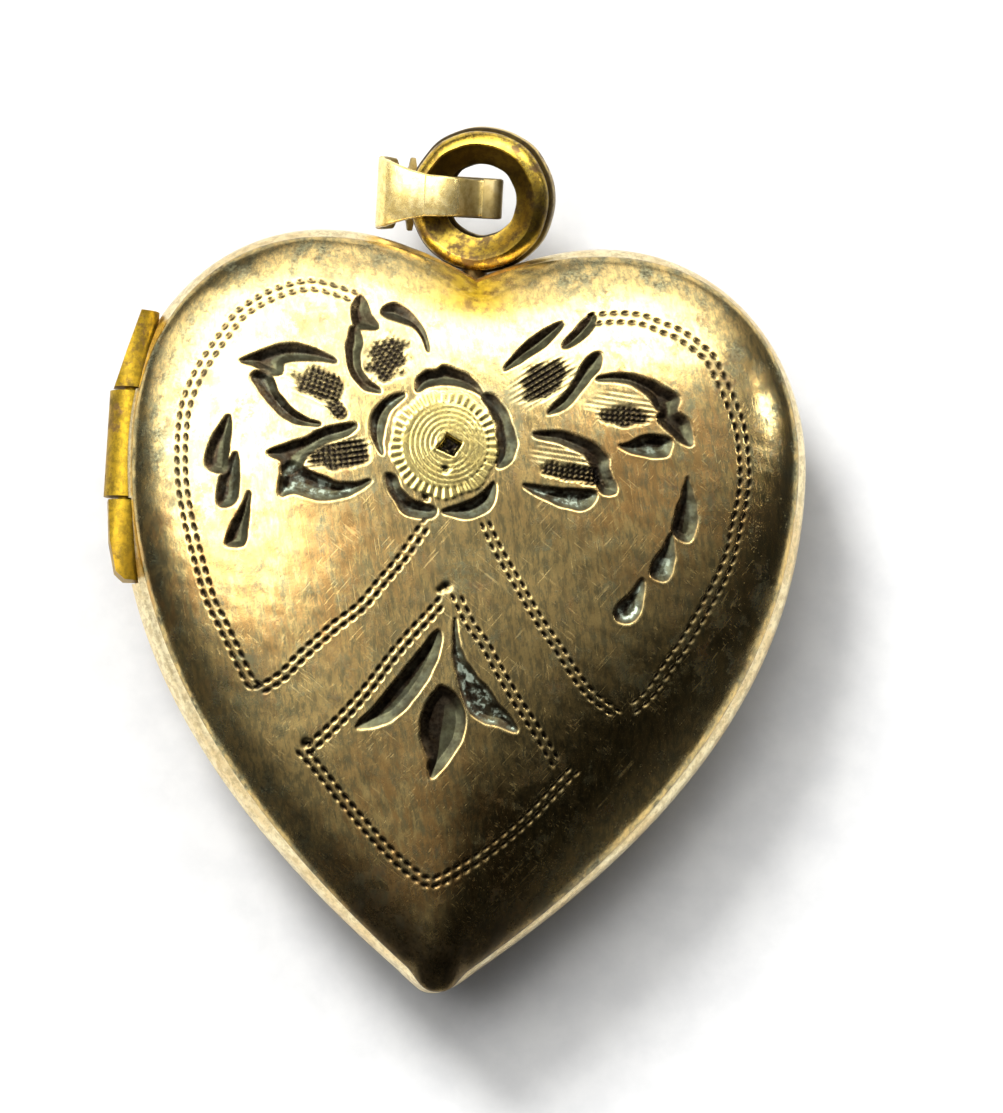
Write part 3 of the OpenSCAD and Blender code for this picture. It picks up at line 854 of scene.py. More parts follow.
# The rim's section: it slopes in from the locket's edge to the dome's foot
RIM_SECTION = [
    (WALL, GAP),
    (shrink(OUTLINE, 0.05), GAP),
    (shrink(OUTLINE, 0.015), GAP + 0.015),
    (OUTLINE, GAP + 0.05),
    (between(0.12), 0.28),
    (between(0.3), 0.5),
    (between(0.62), 0.7),
    (between(0.88), 0.79),
    (between(0.97), 0.88),
    (shrink(DOME_FOOT, 0.01), 0.935),
    (shrink(DOME_FOOT, 0.05), RIM_H),
    (WALL, RIM_H),
]
# Points round a rim, round the rings inside it, and round the flat pieces
RIM_STEPS, INNER_STEPS, PLATE_STEPS = 960, 720, 480

rims = [
    heart_ring(
        half + "_rim", RIM_SECTION, RIM_STEPS, body, front, tight_and_loose(front)
    )
    for half, body, front in HALVES
]


def inset_rows(section):
    """A section of (distance in from the edge, height) as outlines with heights."""
    return [(shrink(OUTLINE, inset), z) for inset, z in section]


EASE = 0.03
LEDGE = [(BEZEL_IN, LEDGE_Z), (LEDGE_IN - EASE, LEDGE_Z), (LEDGE_IN, LEDGE_Z + EASE),
         (LEDGE_IN, RIM_H)]
FRONT_BEZEL = [
    (WALL_IN, RIM_H),
    (WALL_IN, FRONT_BEZEL_Z + EASE),
    (WALL_IN + EASE, FRONT_BEZEL_Z),
    (BEZEL_IN - 0.05, FRONT_BEZEL_Z),
    (BEZEL_IN, FRONT_BEZEL_Z + 0.05),
    *LEDGE,
]
REAR_BEZEL = [
    (WALL_IN, RIM_H),
    (WALL_IN, GAP + EASE),
    (WALL_IN + EASE, GAP),
    (LIP_IN, GAP),
    (LIP_IN, 0.06 - LIP_H),
    (LIP_IN + 0.03, 0.01 - LIP_H),
    (LIP_IN + 0.08, -LIP_H),
    (LIP_BACK_IN - 0.08, -LIP_H),
    (LIP_BACK_IN - 0.03, 0.01 - LIP_H),
    (LIP_BACK_IN, 0.06 - LIP_H),
    (LIP_BACK_IN, GAP),
    (BEZEL_IN - EASE, GAP),
    (BEZEL_IN, GAP + EASE),
    *LEDGE,
]
FRAME_LOW, FRAME_HIGH = FRAME_Z
PHOTO_FRAME = [
    (PICTURE_IN, FRAME_HIGH),
    (PICTURE_IN, 0.25),
    (1.44, 0.19),
    (1.52, 0.155),
    (1.66, FRAME_LOW),
    (1.84, 0.145),
    (2.02, 0.18),
    (2.17, 0.24),
    (2.26, 0.32),
    (OPENING_IN, FRAME_HIGH),
]
BEZEL_CHANNEL = [(HINGE_LOW - 0.3, LOOSE_R), (HINGE_HIGH + 0.3, LOOSE_R)]

inner_rings = []
for half, body, front in HALVES:
    section = inset_rows(FRONT_BEZEL if front else REAR_BEZEL)
    inner_rings.append(
        heart_ring(
            half + "_bezel", section, INNER_STEPS, body, front, BEZEL_CHANNEL
        )
    )
for half, body, front in HALVES:
    section = inset_rows(PHOTO_FRAME)
    inner_rings.append(
        heart_ring(half + "_photo_frame", section, INNER_STEPS, body, front)
    )


def plate(node, z_range, body, bevel, front):
    """A flat heart with rounded edges, in rows that run from its middle and back."""
    low, high = z_range
    side = 1 if front else -1
    n = PLATE_STEPS
    edge = shrink(OUTLINE, PICTURE_IN)
    soft = shrink(OUTLINE, PICTURE_IN + bevel)
    rows = [(CENTRE + 0.01 * (soft - CENTRE), low)]
    rows += [(CENTRE + s * (soft - CENTRE), low) for s in (0.4, 0.75, 1)]
    rows += [(edge, low + bevel), (edge, high - bevel)]
    rows += [(CENTRE + s * (soft - CENTRE), high) for s in (1, 0.75, 0.4, 0.01)]
    points = np.concatenate([at_height(even(outline, n), z * side) for outline, z in rows])
    faces = ring_faces(len(rows), n)
    faces.append(list(range(n)))
    faces.append([(len(rows) - 1) * n + i for i in range(n)][::-1])
    piece = build(node, points, faces, body)
    fix_normals(piece)
    piece.data.set_sharp_from_angle(angle=math.radians(SHARP_EDGE))
    return piece


CARD_BEVEL, WINDOW_BEVEL = 0.015, 0.05
cards = [
    plate(half + "_photo_card", CARD_Z, body, CARD_BEVEL, front)
    for half, body, front in HALVES
]
windows = [
    plate(half + "_window", WINDOW_Z, body, WINDOW_BEVEL, front)
    for half, body, front in HALVES
]


def on_ring(points):
    """The ring's own axes, leaning out of the locket's plane, to the heart's axes."""
    axis = np.array([math.sin(RING_LEAN_DIR), -math.cos(RING_LEAN_DIR), 0])
    c, s = math.cos(RING_TILT), math.sin(RING_TILT)
    along = (points @ axis)[:, None] * axis * (1 - c)
    return points * c + np.cross(axis, points) * s + along + (0, RING_Y, 0)


# Points round the ring, and along each of its section's two arcs
RING_STEPS, ARC_STEPS = 180, 29
# Where the cone inside the front tier starts, round from the section's own x axis
CONE_START = math.radians(66)
# How far the two tiers swell outwards, the ring sinks into the notch, and its back slips aside
RING_SWELL, FRONT_SWELL, RING_SINK, RING_SHEAR = 0.07, 0.1, 0.12, 0.2
SHEAR_TOWARD = np.array([0.7, 0.72, 0])
# Width of metal inside the ring that gets painted shade and soiling
SHADED_WIDTH = 0.15


def ring_section():
    """Outline of the two tiers' circles together."""
    d = REAR_TIER - FRONT_TIER
    gap = np.linalg.norm(d)
    base = math.atan2(d[1], d[0])
    near_part = (FRONT_TIER_R**2 - REAR_TIER_R**2 + gap**2) / (2 * gap)
    front_cut = math.acos(near_part / FRONT_TIER_R)
    rear_cut = math.acos((gap - near_part) / REAR_TIER_R)
    arcs = [
        (FRONT_TIER, FRONT_TIER_R, base + front_cut, base + 2 * math.pi - front_cut),
        (REAR_TIER, REAR_TIER_R, base + math.pi + rear_cut, base + 3 * math.pi - rear_cut),
    ]
    points = []
    for middle, radius, start, end in arcs:
        angle = np.linspace(start, end, ARC_STEPS + 1)[:-1]
        points.append(middle + radius * np.stack([np.cos(angle), np.sin(angle)], 1))
    points = np.concatenate(points)
    cone_top = FRONT_TIER + FRONT_TIER_R * np.array([math.cos(CONE_START), math.sin(CONE_START)])
    cone_low = FRONT_TIER - (FRONT_TIER_R, 0.02)
    cone = (points[:, 0] < cone_top[0]) & (points[:, 1] > cone_low[1])
    share = (points[cone, 0] - cone_low[0]) / (cone_top[0] - cone_low[0])
    points[cone, 1] = cone_low[1] + share**1.3 * (cone_top[1] - cone_low[1])
    return points


def hanging_ring():
    """The two-tier ring, turned, swollen, a little dented, and tilted into the notch."""
    section = ring_section()
    out, up = section.T
    turns = 2 * math.pi * np.arange(RING_STEPS) / RING_STEPS
    around = [np.outer(np.cos(turns), out), np.outer(np.sin(turns), out)]
    points = np.stack([*around, np.tile(up, (RING_STEPS, 1))], 2).reshape(-1, 3)
    outward = points * (1, 1, 0)
    outward /= np.linalg.norm(outward, axis=1)[:, None]
    bearing = np.arctan2(points[:, 1], points[:, 0])
    dents = np.random.default_rng(21)
    uneven = sum(
        np.sin(k * bearing + dents.uniform(0, 6.3)) * dents.uniform(0.2, 1) for k in range(3, 15)
    )
    radius = np.hypot(points[:, 0], points[:, 1])
    swell = RING_SWELL * fade(radius, REAR_TIER[0], REAR_TIER[0] + REAR_TIER_R)
    front = fade(points[:, 2], FRONT_TIER[1] - FRONT_TIER_R, FRONT_TIER[1])
    swell += FRONT_SWELL * front * fade(radius, FRONT_TIER[0], FRONT_TIER[0] + FRONT_TIER_R)
    points = points + outward * (0.006 * uneven - 0.012 + swell)[:, None]
    top, low = points[:, 2].max(), points[:, 2].min()
    points = points + SHEAR_TOWARD * (RING_SHEAR * (top - points[:, 2]) / (top - low))[:, None]
    piece = build(
        "hanging_ring", on_ring(points) - (0, RING_SINK, 0),
        ring_faces(RING_STEPS, len(section), True), "back_half", 40,
        {"shade_and_dirt": ring_shade_and_dirt(out, turns).ravel()},
    )
    fix_normals(piece)
    return piece


def ring_shade_and_dirt(out, turns):
    """Painted shade inside the ring, deepest at its top and down its right side, and black where the tiers
    meet, as painted shade and soiling.
    """
    # Painted shade inside the ring: strongest towards its top, weakest at its bottom
    shade = np.minimum(0.78 + 0.34 * np.sin(turns + 0.1), 1)
    darkness = shade[:, None] * (out < FRONT_TIER[0] + SHADED_WIDTH)[None]
    # Painted shade down the ring's right side
    from_right = (turns + 0.15 + math.pi) % (2 * math.pi) - math.pi
    darkness = np.maximum(darkness, 0.85 * np.exp(-((from_right / 0.65) ** 2))[:, None])
    # Black where the tiers meet: painted shade in the crease, and soiling
    darkness[:, np.r_[-2:2, ARC_STEPS - 1 : ARC_STEPS + 3]] = 1
    return darkness


ring = hanging_ring()

# The bail's folded strip seen from its side: distance from the ring's middle, and height
BAIL_FRONT = [(-0.1, 0.11), (0.2, 0.27), (0.55, 0.76), (0.82, 1.03), (1.15, 1.11), (1.5, 1.07),
              (1.62, 1.05), (1.68, 1.02), (2.3, 0.94), (2.9, 0.74), (3.2, 0.4)]
BAIL_REAR = [(3.3, 0), (3.18, -0.42), (2.85, -0.8), (2.3, -1.03), (1.75, -1.1), (1.15, -1),
             (0.5, -0.78), (-0.1, -0.55), (-0.5, -0.34), (-0.63, -0.08), (-0.5, 0.13)]
# Half widths of the two leaves along the bail
BAIL_FRONT_PLAN = [(-1, 0.6), (0.1, 0.6), (1.1, 0.67), (1.6, 0.69), (2.1, 0.79), (2.6, 0.95),
                   (3, 1.1), (3.5, 1.2)]
BAIL_REAR_PLAN = [(-1, 0.66), (1.1, 0.68), (2.2, 0.74), (2.28, 0.8), (2.33, 1.2), (2.5, 1.22),
                  (2.56, 0.84), (2.85, 0.88), (2.95, 1.16), (3.2, 1.2), (3.5, 1.2)]


BAIL_STEPS = 14
STRIP_EDGE = 0.07


def bail():
    """One strip bent into a closed loop, with its edges rounded."""
    path = smooth_line(BAIL_FRONT + BAIL_REAR, BAIL_STEPS, closed=True)
    split = BAIL_STEPS * len(BAIL_FRONT)
    ahead = np.roll(path, -1, 0) - np.roll(path, 1, 0)
    ahead /= np.linalg.norm(ahead, axis=1)[:, None]
    out = np.stack([-ahead[:, 1], ahead[:, 0]], 1)
    round_end = [(math.cos(a), math.sin(a)) for a in np.linspace(-math.pi / 2, math.pi / 2, 7)]
    points = []
    for i, (p, normal) in enumerate(zip(path, out)):
        plan = BAIL_FRONT_PLAN if i < split else BAIL_REAR_PLAN
        half = np.interp(p[0], *zip(*plan))
        thick = STRIP_T / 2
        section = []
        for side in (1, -1):
            for c, s in round_end:
                section.append((side * (half - STRIP_EDGE + STRIP_EDGE * c), side * thick * s))
        for across, off in section:
            points.append((p[0] + off * normal[0], across, p[1] + off * normal[1]))
    points = np.array(points) * (-1, -1, 1)
    n = 2 * len(round_end)
    out_from_ring = path[:, 0]
    # Painted shade: the front leaf darkens where it slopes down towards the ring, and the rear leaf is
    # darker throughout
    shaded = 0.5 * fade(out_from_ring, 0.8, 0.3) * fade(out_from_ring, -0.05, 0.12)
    shaded[split:] = 0.75
    piece = build(
        "bail", on_ring(points), ring_faces(len(path), n, True), "bail_loop", 45,
        {"shade_and_dirt": np.repeat(shaded, n)},
    )
    fix_normals(piece)
    return piece


bail_piece = bail()


# ---------------------------------------------------------------- materials
MILLIMETRES = 1000


class Nodes:
    """Short ways to add nodes to a shader tree."""

    def __init__(self, tree):
        self.tree = tree

    def node(self, kind, settings=None, **inputs):
        made = self.tree.nodes.new("ShaderNode" + kind)
        for key, value in (settings or {}).items():
            setattr(made, key, value)
        for key, value in inputs.items():
            self.put(made.inputs[key.replace("_", " ")], value)
        return made

    def put(self, socket, value):
        if isinstance(value, bpy.types.NodeSocket):
            self.tree.links.new(value, socket)
        else:
            socket.default_value = value

    def level(self, value, start, end, low=0.0, high=1.0):
        """Turns start..end smoothly into low..high."""
        made = self.node("MapRange", {"interpolation_type": "SMOOTHSTEP"}, Value=value)
        for key, number in zip(("From Min", "From Max", "To Min", "To Max"), (start, end, low, high)):
            made.inputs[key].default_value = number
        return made.outputs[0]

    def math(self, operation, a, b):
        made = self.node("Math", {"operation": operation})
        self.put(made.inputs[0], a)
        self.put(made.inputs[1], b)
        return made.outputs[0]

    def plus(self, a, b):
        return self.math("ADD", a, b)

    def times(self, a, b):
        return self.math("MULTIPLY", a, b)

    def most(self, a, b):
        return self.math("MAXIMUM", a, b)


class Paint(Nodes):
    """A material, with its patterns in millimetres."""

    def __init__(self, name):
        self.material = bpy.data.materials.new(name)
        self.material.use_nodes = True
        super().__init__(self.material.node_tree)
        self.shader = self.tree.nodes["Principled BSDF"]
        place = self.node("TexCoord").outputs["Object"]
        self.place = self.node("Mapping", Vector=place, Scale=(MILLIMETRES,) * 3).outputs[0]

    def noise(self, scale, detail=4, roughness=0.6, shift=0.0, stretch=(1, 1, 1), turn=0.0):
        """Cloudy noise, moved by shift, and squeezed by stretch after a turn in degrees."""
        turned = self.node("Mapping", Vector=self.place, Rotation=(0, 0, math.radians(turn)))
        at = self.node("Mapping", Vector=turned.outputs[0], Location=(shift,) * 3, Scale=stretch)
        made = self.node(
            "TexNoise", Vector=at.outputs[0], Scale=scale, Detail=detail, Roughness=roughness
        )
        return made.outputs[0]

    def mix(self, share, a, b):
        made = self.node("Mix", {"data_type": "RGBA"})
        self.put(made.inputs[0], share)
        for socket, value in ((made.inputs[6], a), (made.inputs[7], b)):
            self.put(socket, (*value, 1) if isinstance(value, tuple) else value)
        return made.outputs[2]

    def attribute(self, name):
        return self.node("Attribute", {"attribute_name": name}).outputs["Fac"]

    def scratches(self, turn, shift, width=16, share=0.64):
        """Fine, broken, roughly parallel hairlines."""
        lines = self.noise(1, 1, 0.5, shift, (0.4, width, width), turn)
        broken = self.level(self.noise(0.9, 2, 0.5, shift + 7), 0.45, 0.6)
        return self.times(self.level(lines, share, share + 0.06), broken)

    def bump(self, height, distance, normal=None):
        made = self.node("Bump", Height=height, Strength=0.5, Distance=distance / MILLIMETRES)
        if normal:
            self.put(made.inputs["Normal"], normal)
        return made.outputs[0]

    def set(self, **inputs):
        for key, value in inputs.items():
            self.put(self.shader.inputs[key.replace("_", " ")], value)


# Colours of the metals: clean, rubbed to the copper below, and tarnished
GOLD = (0.87, 0.63, 0.24)
COPPERY = (0.78, 0.42, 0.13)
OLIVE = (0.25, 0.235, 0.125)
# Colours of wear and soiling, of painted shade and lit tints in the cuts and the ring, and of painted
# highlights, with a second one where the first is mottled
UMBER = (0.25, 0.14, 0.06)
RUST = (0.62, 0.36, 0.12)
PATINA = (0.38, 0.36, 0.2), (0.1, 0.09, 0.05)
SOLDER = (0.54, 0.35, 0.02), (0.2, 0.11, 0.01)
BURNISH_HIGHLIGHT_GOLD = (0.88, 0.74, 0.34)
FLOWER = (0.9, 0.75, 0.27), (0.62, 0.49, 0.15)
DIRT_AND_SHADE = (0.03, 0.017, 0.008), (0.08, 0.055, 0.03)
LIT_FACET = (0.13, 0.13, 0.07), (0.05, 0.045, 0.025)
VERDIGRIS, CRUST = (0.16, 0.19, 0.13), (0.45, 0.52, 0.4)
SOOT_AND_SHADE_BLACK = (0.008, 0.006, 0.005)
SHADE_AND_DIRT_BLACK = (0.03, 0.018, 0.007)


class Metal(Paint):
    """Rubbed gold or brass: polished high spots, a warm bloom, mottled tarnish, hairlines."""

    def __init__(self, name, polished, warm, tarnish, spread):
        """spread says how far the tarnish reaches."""
        super().__init__(name)
        self.polished = polished
        self.warm = warm
        self.tarnish = tarnish
        self.mottle = self.noise(1.9, 7, 0.64, 11)
        self.fine = self.noise(9, 5, 0.65, 23)
        cover_share = self.plus(self.noise(0.33, 5, 0.6, 3), self.times(self.mottle, 1.4))
        cover_share = self.plus(cover_share, self.times(self.fine, 0.4))
        self.tarnished = self.level(cover_share, 1.53 - spread, 1.79 - spread)
        self.bloom = self.level(self.noise(0.55, 5, 0.65, 41), 0.42, 0.62)
        crossing = self.most(self.scratches(-52, 31), self.scratches(78, 57, 22, 0.66))
        self.lines = self.most(self.scratches(35, 5), crossing)

    def metal_colour(self, grain):
        """The metal under the dirt; grain is the stretch of its brown freckles."""
        colour = self.mix(self.times(self.bloom, 0.75), self.polished, self.warm)
        brown = self.level(self.noise(0.9, 5, 0.65, 71), 0.42, 0.62)
        colour = self.mix(self.tarnished, colour, self.mix(brown, self.tarnish, UMBER))
        freckle = self.level(self.noise(1, 7, 0.72, 83, grain, 80), 0.43, 0.59, 0.0, 0.65)
        return self.mix(freckle, colour, self.tarnish)

    def roughness(self, gloss, dull):
        """gloss where the metal is clean, dull where it is tarnished."""
        rough = self.plus(self.times(self.tarnished, dull - gloss), gloss)
        rough = self.plus(rough, self.times(self.fine, 0.1))
        return self.plus(rough, self.times(self.lines, 0.1))

    def finish(self, colour, rough, metal):
        relief = self.math("SUBTRACT", self.times(self.fine, 0.35), self.times(self.lines, 0.7))
        normal = self.bump(relief, 0.002, self.bump(self.mottle, 0.012))
        self.set(Base_Color=colour, Roughness=rough, Metallic=metal, Normal=normal)
        return self.material


def plain_metal(name, colours, spread, gloss, dull, metal=1.0, shade_and_dirt=False):
    """colours are clean, warm and tarnished. If the last flag is set, a mesh attribute blackens the metal:
    painted shade, and soiling.
    """
    paint = Metal(name, *colours, spread)
    colour = paint.metal_colour((4.2, 4.2, 4.2))
    colour = paint.mix(paint.times(paint.lines, 0.3), colour, paint.polished)
    rough = paint.roughness(gloss, dull)
    if shade_and_dirt:
        # Painted shade and soiling, blackened where the attribute says
        darkened = paint.attribute("shade_and_dirt")
        colour = paint.mix(paint.times(darkened, 0.93), colour, SHADE_AND_DIRT_BLACK)
        rough = paint.plus(rough, paint.times(darkened, 0.2))
    return paint.finish(colour, rough, metal)


def cover_metal():
    """The covers' gold: brushed, with patina near the edge and everything the tints say, painted shade,
    lit tints and highlights among them.
    """
    paint = Metal("cover_gold", GOLD, COPPERY, OLIVE, 0.18)
    mottle, fine = paint.mottle, paint.fine
    edge = paint.attribute("edge")
    warm = paint.attribute("warm")
    streak = paint.level(paint.noise(1, 5, 0.6, 91, (1.6, 0.4, 1.6), 18), 0.35, 0.68)
    patina = paint.times(edge, paint.level(mottle, 0.36, 0.6, 0.25, 1.0))
    patina = paint.times(patina, streak)
    streaked = paint.times(paint.tarnished, paint.level(streak, 0.0, 1.0, 0.55, 1.0))
    paint.tarnished = paint.most(streaked, paint.times(patina, 0.4))
    paint.lines = paint.times(paint.lines, paint.level(edge, 0.0, 1.0, 1.0, 0.5))
    paint.bloom = paint.times(paint.bloom, paint.level(warm, 0.0, 0.8, 0.15, 1.0))
    colour = paint.metal_colour((1.7, 5.5, 5.5))
    rust = paint.level(paint.noise(1, 7, 0.68, 113, (0.9, 3.2, 3.2), 72), 0.43, 0.62, 0.0, 0.85)
    colour = paint.mix(paint.times(rust, paint.level(warm, 0.0, 0.8, 0.2, 1.0)), colour, RUST)
    colour = paint.mix(patina, colour, paint.mix(paint.level(fine, 0.38, 0.62), *PATINA))
    colour = paint.mix(paint.times(paint.lines, 0.3), colour, paint.polished)

    crease = paint.attribute("crease")
    burnish_and_highlight = paint.attribute("burnish_and_highlight")
    flower = paint.times(paint.attribute("flower"), 0.8)
    soiled_and_shaded = paint.times(paint.attribute("grime_and_shade"), paint.level(mottle, 0.2, 0.5, 0.8, 1.0))
    lit_wall = paint.attribute("lit_wall")
    damp = paint.level(paint.noise(2.6, 6, 0.7, 61), 0.4, 0.62)
    green = paint.times(paint.attribute("green"), damp)
    soot_and_shade = paint.times(paint.attribute("soot_and_shade"), paint.level(fine, 0.3, 0.5, 0.85, 1.0))
    colour = paint.mix(crease, colour, paint.mix(paint.level(mottle, 0.4, 0.62), *SOLDER))
    # Painted highlight on the lips, with burnish on the pads
    colour = paint.mix(paint.times(burnish_and_highlight, 0.85), colour, BURNISH_HIGHLIGHT_GOLD)
    colour = paint.mix(flower, colour, paint.mix(paint.level(mottle, 0.35, 0.65), *FLOWER))
    # Soiling in the cuts, lines and stitches, and painted shade near the tip
    colour = paint.mix(soiled_and_shaded, colour, paint.mix(paint.level(fine, 0.35, 0.65), *DIRT_AND_SHADE))
    # Painted lit tint on the cut walls that face the light
    lit = paint.mix(paint.level(mottle, 0.3, 0.65), *LIT_FACET)
    colour = paint.mix(paint.times(lit_wall, 0.9), colour, lit)
    colour = paint.mix(paint.times(green, 0.75), colour, VERDIGRIS)
    colour = paint.mix(paint.level(green, 0.45, 0.85), colour, CRUST)
    # Near-black: old black polish in the hatching, and painted shade on the shaded cut walls, the pits,
    # dots and drilled eye
    colour = paint.mix(soot_and_shade, colour, SOOT_AND_SHADE_BLACK)

    rough = paint.roughness(0.12, 0.27)
    for dulled, amount in ((soiled_and_shaded, 0.12), (lit_wall, 0.15), (burnish_and_highlight, 0.08)):
        rough = paint.plus(rough, paint.times(dulled, amount))
    covered = paint.most(paint.times(green, 0.5), paint.times(crease, 0.45))
    return paint.finish(colour, rough, paint.math("SUBTRACT", 1.0, covered))


def wear(obj, material):
    """Gives a piece or a carried-over CAD node its finish."""
    if not obj.material_slots:
        obj.data.materials.append(material)
    for slot in obj.material_slots:
        slot.material = material


cover_gold = cover_metal()
inner_gold = plain_metal(
    "inner_gold", ((0.86, 0.67, 0.36), COPPERY, (0.4, 0.3, 0.15)), -0.05, 0.22, 0.4
)
rim_gold = plain_metal(
    "rim_gold", ((1.0, 0.87, 0.54), (0.88, 0.66, 0.32), (0.55, 0.42, 0.2)), -0.08, 0.28, 0.45
)
ring_gold = plain_metal(
    "ring_gold", ((0.88, 0.63, 0.09), (0.68, 0.42, 0.05), (0.2, 0.13, 0.05)), 0.1, 0.18, 0.36,
    shade_and_dirt=True,
)
bail_gold = plain_metal(
    "bail_gold", ((0.98, 0.79, 0.36), (0.92, 0.67, 0.2), (0.6, 0.42, 0.12)), -0.06, 0.2, 0.36,
    metal=0.75, shade_and_dirt=True,
)
# Near-black brass for the ring's seat: painted shade, the dark gap under the ring
seat_painted_shade = plain_metal(
    "seat_painted_shade", ((0.14, 0.09, 0.03), (0.1, 0.06, 0.02), (0.04, 0.025, 0.01)), 0.1, 0.4, 0.6
)
hinge_brass = plain_metal(
    "hinge_brass", ((0.5, 0.32, 0.02), (0.4, 0.23, 0.015), (0.2, 0.13, 0.015)), 0.12, 0.42, 0.6,
    metal=0.9,
)


def card_paper():
    """Blank picture cards: crossed fibres, stains and a few brown spots."""
    paint = Paint("card_paper")
    stain = paint.level(paint.noise(0.4, 5, 0.6, 2), 0.4, 0.7)
    spots = paint.level(paint.noise(2.3, 4, 0.6, 9), 0.66, 0.74)
    fibre = paint.noise(1, 4, 0.6, 4, (4, 24, 24), 20)
    crossing = paint.noise(1, 4, 0.6, 14, (4, 24, 24), 110)
    weave = paint.plus(fibre, crossing)
    colour = paint.mix(stain, (0.83, 0.77, 0.62), (0.7, 0.6, 0.43))
    colour = paint.mix(paint.times(spots, 0.6), colour, (0.5, 0.34, 0.18))
    colour = paint.mix(paint.level(weave, 0.8, 1.3, 0.0, 0.25), colour, (0.93, 0.9, 0.8))
    rough = paint.level(weave, 0.7, 1.3, 0.8, 0.95)
    paint.set(Base_Color=colour, Roughness=rough, Normal=paint.bump(weave, 0.02))
    return paint.material


def celluloid():
    """Clear celluloid, yellowed and hazed in patches, with hairlines."""
    paint = Paint("celluloid")
    lines = paint.most(paint.scratches(20, 3, 20), paint.scratches(-65, 13, 20))
    haze = paint.level(paint.noise(0.5, 4, 0.6, 5), 0.4, 0.7)
    colour = paint.mix(haze, (0.97, 0.95, 0.87), (0.93, 0.86, 0.7))
    rough = paint.plus(paint.times(lines, 0.3), 0.06)
    rough = paint.plus(rough, paint.times(haze, 0.08))
    normal = paint.bump(paint.noise(0.3, 2, 0.5, 8), 0.03)
    paint.set(
        Base_Color=colour, Roughness=rough, Normal=normal, IOR=1.5, Transmission_Weight=1.0
    )
    return paint.material


FINISHES = [
    (covers, cover_gold),
    (rims, rim_gold),
    (inner_rings, inner_gold),
    (cards, card_paper()),
    (windows, celluloid()),
    ([ring], ring_gold),
    ([bail_piece], bail_gold),
]
for pieces, material in FINISHES:
    for piece in pieces:
        wear(piece, material)

# The small CAD nodes keep their shape and get soft edges and a finish
NODE_BEVEL = 0.035
for name in (
    "hinge_knuckle_upper", "hinge_knuckle_middle", "hinge_knuckle_lower", "hinge_pin", "ring_seat"
):
    node = frame["nodes"][name]
    wear(node, seat_painted_shade if name == "ring_seat" else hinge_brass)
    bevel = node.modifiers.new("soft_edges", "BEVEL")
    bevel.width = NODE_BEVEL * UNIT
    bevel.segments = 3
    bevel.limit_method = "ANGLE"
    bevel.angle_limit = math.radians(40)
    bevel.harden_normals = False


# ---------------------------------------------------------------- floor and light
FLOOR_HALF = 2.0


def pale_floor():
    mesh = bpy.data.meshes.new("floor")
    corners = [(-1, -1), (1, -1), (1, 1), (-1, 1)]
    mesh.from_pydata([(x * FLOOR_HALF, y * FLOOR_HALF, 0) for x, y in corners], [], [(0, 1, 2, 3)])
    floor = bpy.data.objects.new("floor", mesh)
    bpy.context.scene.collection.objects.link(floor)
    paint = Paint("floor_paper")
    grain = paint.level(paint.noise(0.7, 4, 0.6), 0.3, 0.7)
    paint.set(Base_Color=paint.mix(grain, (0.44, 0.44, 0.44), (0.48, 0.48, 0.475)), Roughness=0.9)
    wear(floor, paint.material)


pale_floor()

KEY_FROM, KEY_ZENITH = math.radians(127), math.radians(54)
key_data = bpy.data.lights.new("key", "SUN")
key_data.energy = 6.1
key_data.angle = math.radians(20)
key = bpy.data.objects.new("key", key_data)
key.rotation_euler = (0, KEY_ZENITH, KEY_FROM)
key.visible_glossy = False
bpy.context.scene.collection.objects.link(key)

# The room the metal mirrors: a wide window above and to the left, dark to the lower right.
# Each light patch is a direction, by its bearing and its angle from straight up.
WINDOWS = [(144, 42), (77, 56)]
# A small lamp: its direction, the cosines at its soft edge, and its brightness
GLINT, GLINT_EDGE, GLINT_LEVEL = (23, 60), (0.996, 0.999), 12.0
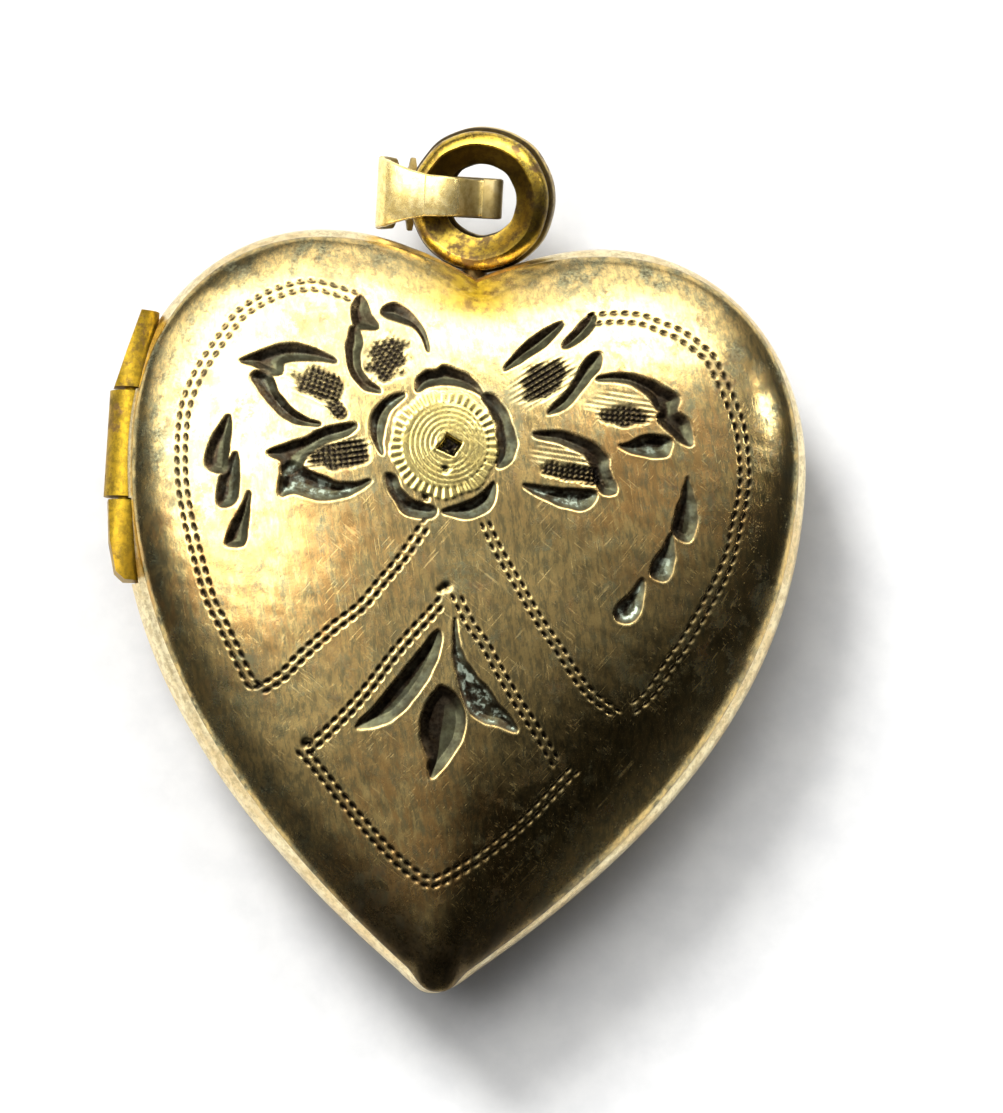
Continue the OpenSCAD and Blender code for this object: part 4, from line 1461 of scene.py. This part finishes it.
# Cosine of the angle from a window's middle, and the brightness there
ROOM = [(0.0, 0.002), (0.35, 0.006), (0.5, 0.05), (0.62, 0.19), (0.74, 0.38), (0.82, 0.58),
        (0.86, 0.78), (0.885, 3.4), (0.95, 6.5)]
# Strength of the plain backdrop that the camera sees behind the floor
BACKDROP = 0.9


def way(bearing, zenith):
    bearing, zenith = math.radians(bearing), math.radians(zenith)
    across = math.sin(zenith)
    return (across * math.cos(bearing), across * math.sin(bearing), math.cos(zenith))


def room_light():
    room = bpy.data.worlds.new("room")
    bpy.context.scene.world = room
    room.use_nodes = True
    nodes = Nodes(room.node_tree)
    place = nodes.node("TexCoord").outputs["Generated"]

    def toward(direction):
        dot = nodes.node("VectorMath", {"operation": "DOT_PRODUCT"})
        nodes.put(dot.inputs[0], place)
        nodes.put(dot.inputs[1], direction)
        return dot.outputs["Value"]

    ramp = nodes.node("ValToRGB")
    nodes.put(ramp.inputs[0], nodes.most(*(toward(way(*window)) for window in WINDOWS)))
    ramp.color_ramp.interpolation = "EASE"
    while len(ramp.color_ramp.elements) < len(ROOM):
        ramp.color_ramp.elements.new(0.5)
    brightest = max(level for at, level in ROOM)
    for element, (at, level) in zip(ramp.color_ramp.elements, ROOM):
        element.position = at
        element.color = (level / brightest,) * 3 + (1,)
    height = toward((0, 0, 1))
    overhead = nodes.level(height, 0.5, 0.76, 0.26, 1.0)
    daylight = nodes.times(nodes.times(ramp.outputs[0], overhead), brightest)
    glint = nodes.level(toward(way(*GLINT)), *GLINT_EDGE, 0.0, GLINT_LEVEL)
    low_down = nodes.level(height, 0.75, 0.35, 0.0, 1.0)
    far_side = nodes.level(toward((0, -1, 0)), 0.1, 0.7, 0.01, 0.08)
    light = nodes.plus(nodes.plus(daylight, glint), nodes.times(low_down, far_side))
    seen = nodes.node("LightPath").outputs["Is Camera Ray"]
    mirrored = nodes.times(nodes.math("SUBTRACT", 1.0, seen), light)
    background = nodes.tree.nodes["Background"]
    background.inputs["Color"].default_value = (1, 1, 1, 1)
    nodes.put(background.inputs["Strength"], nodes.plus(nodes.times(seen, BACKDROP), mirrored))


room_light()
bpy.context.scene.view_settings.view_transform = "Standard"
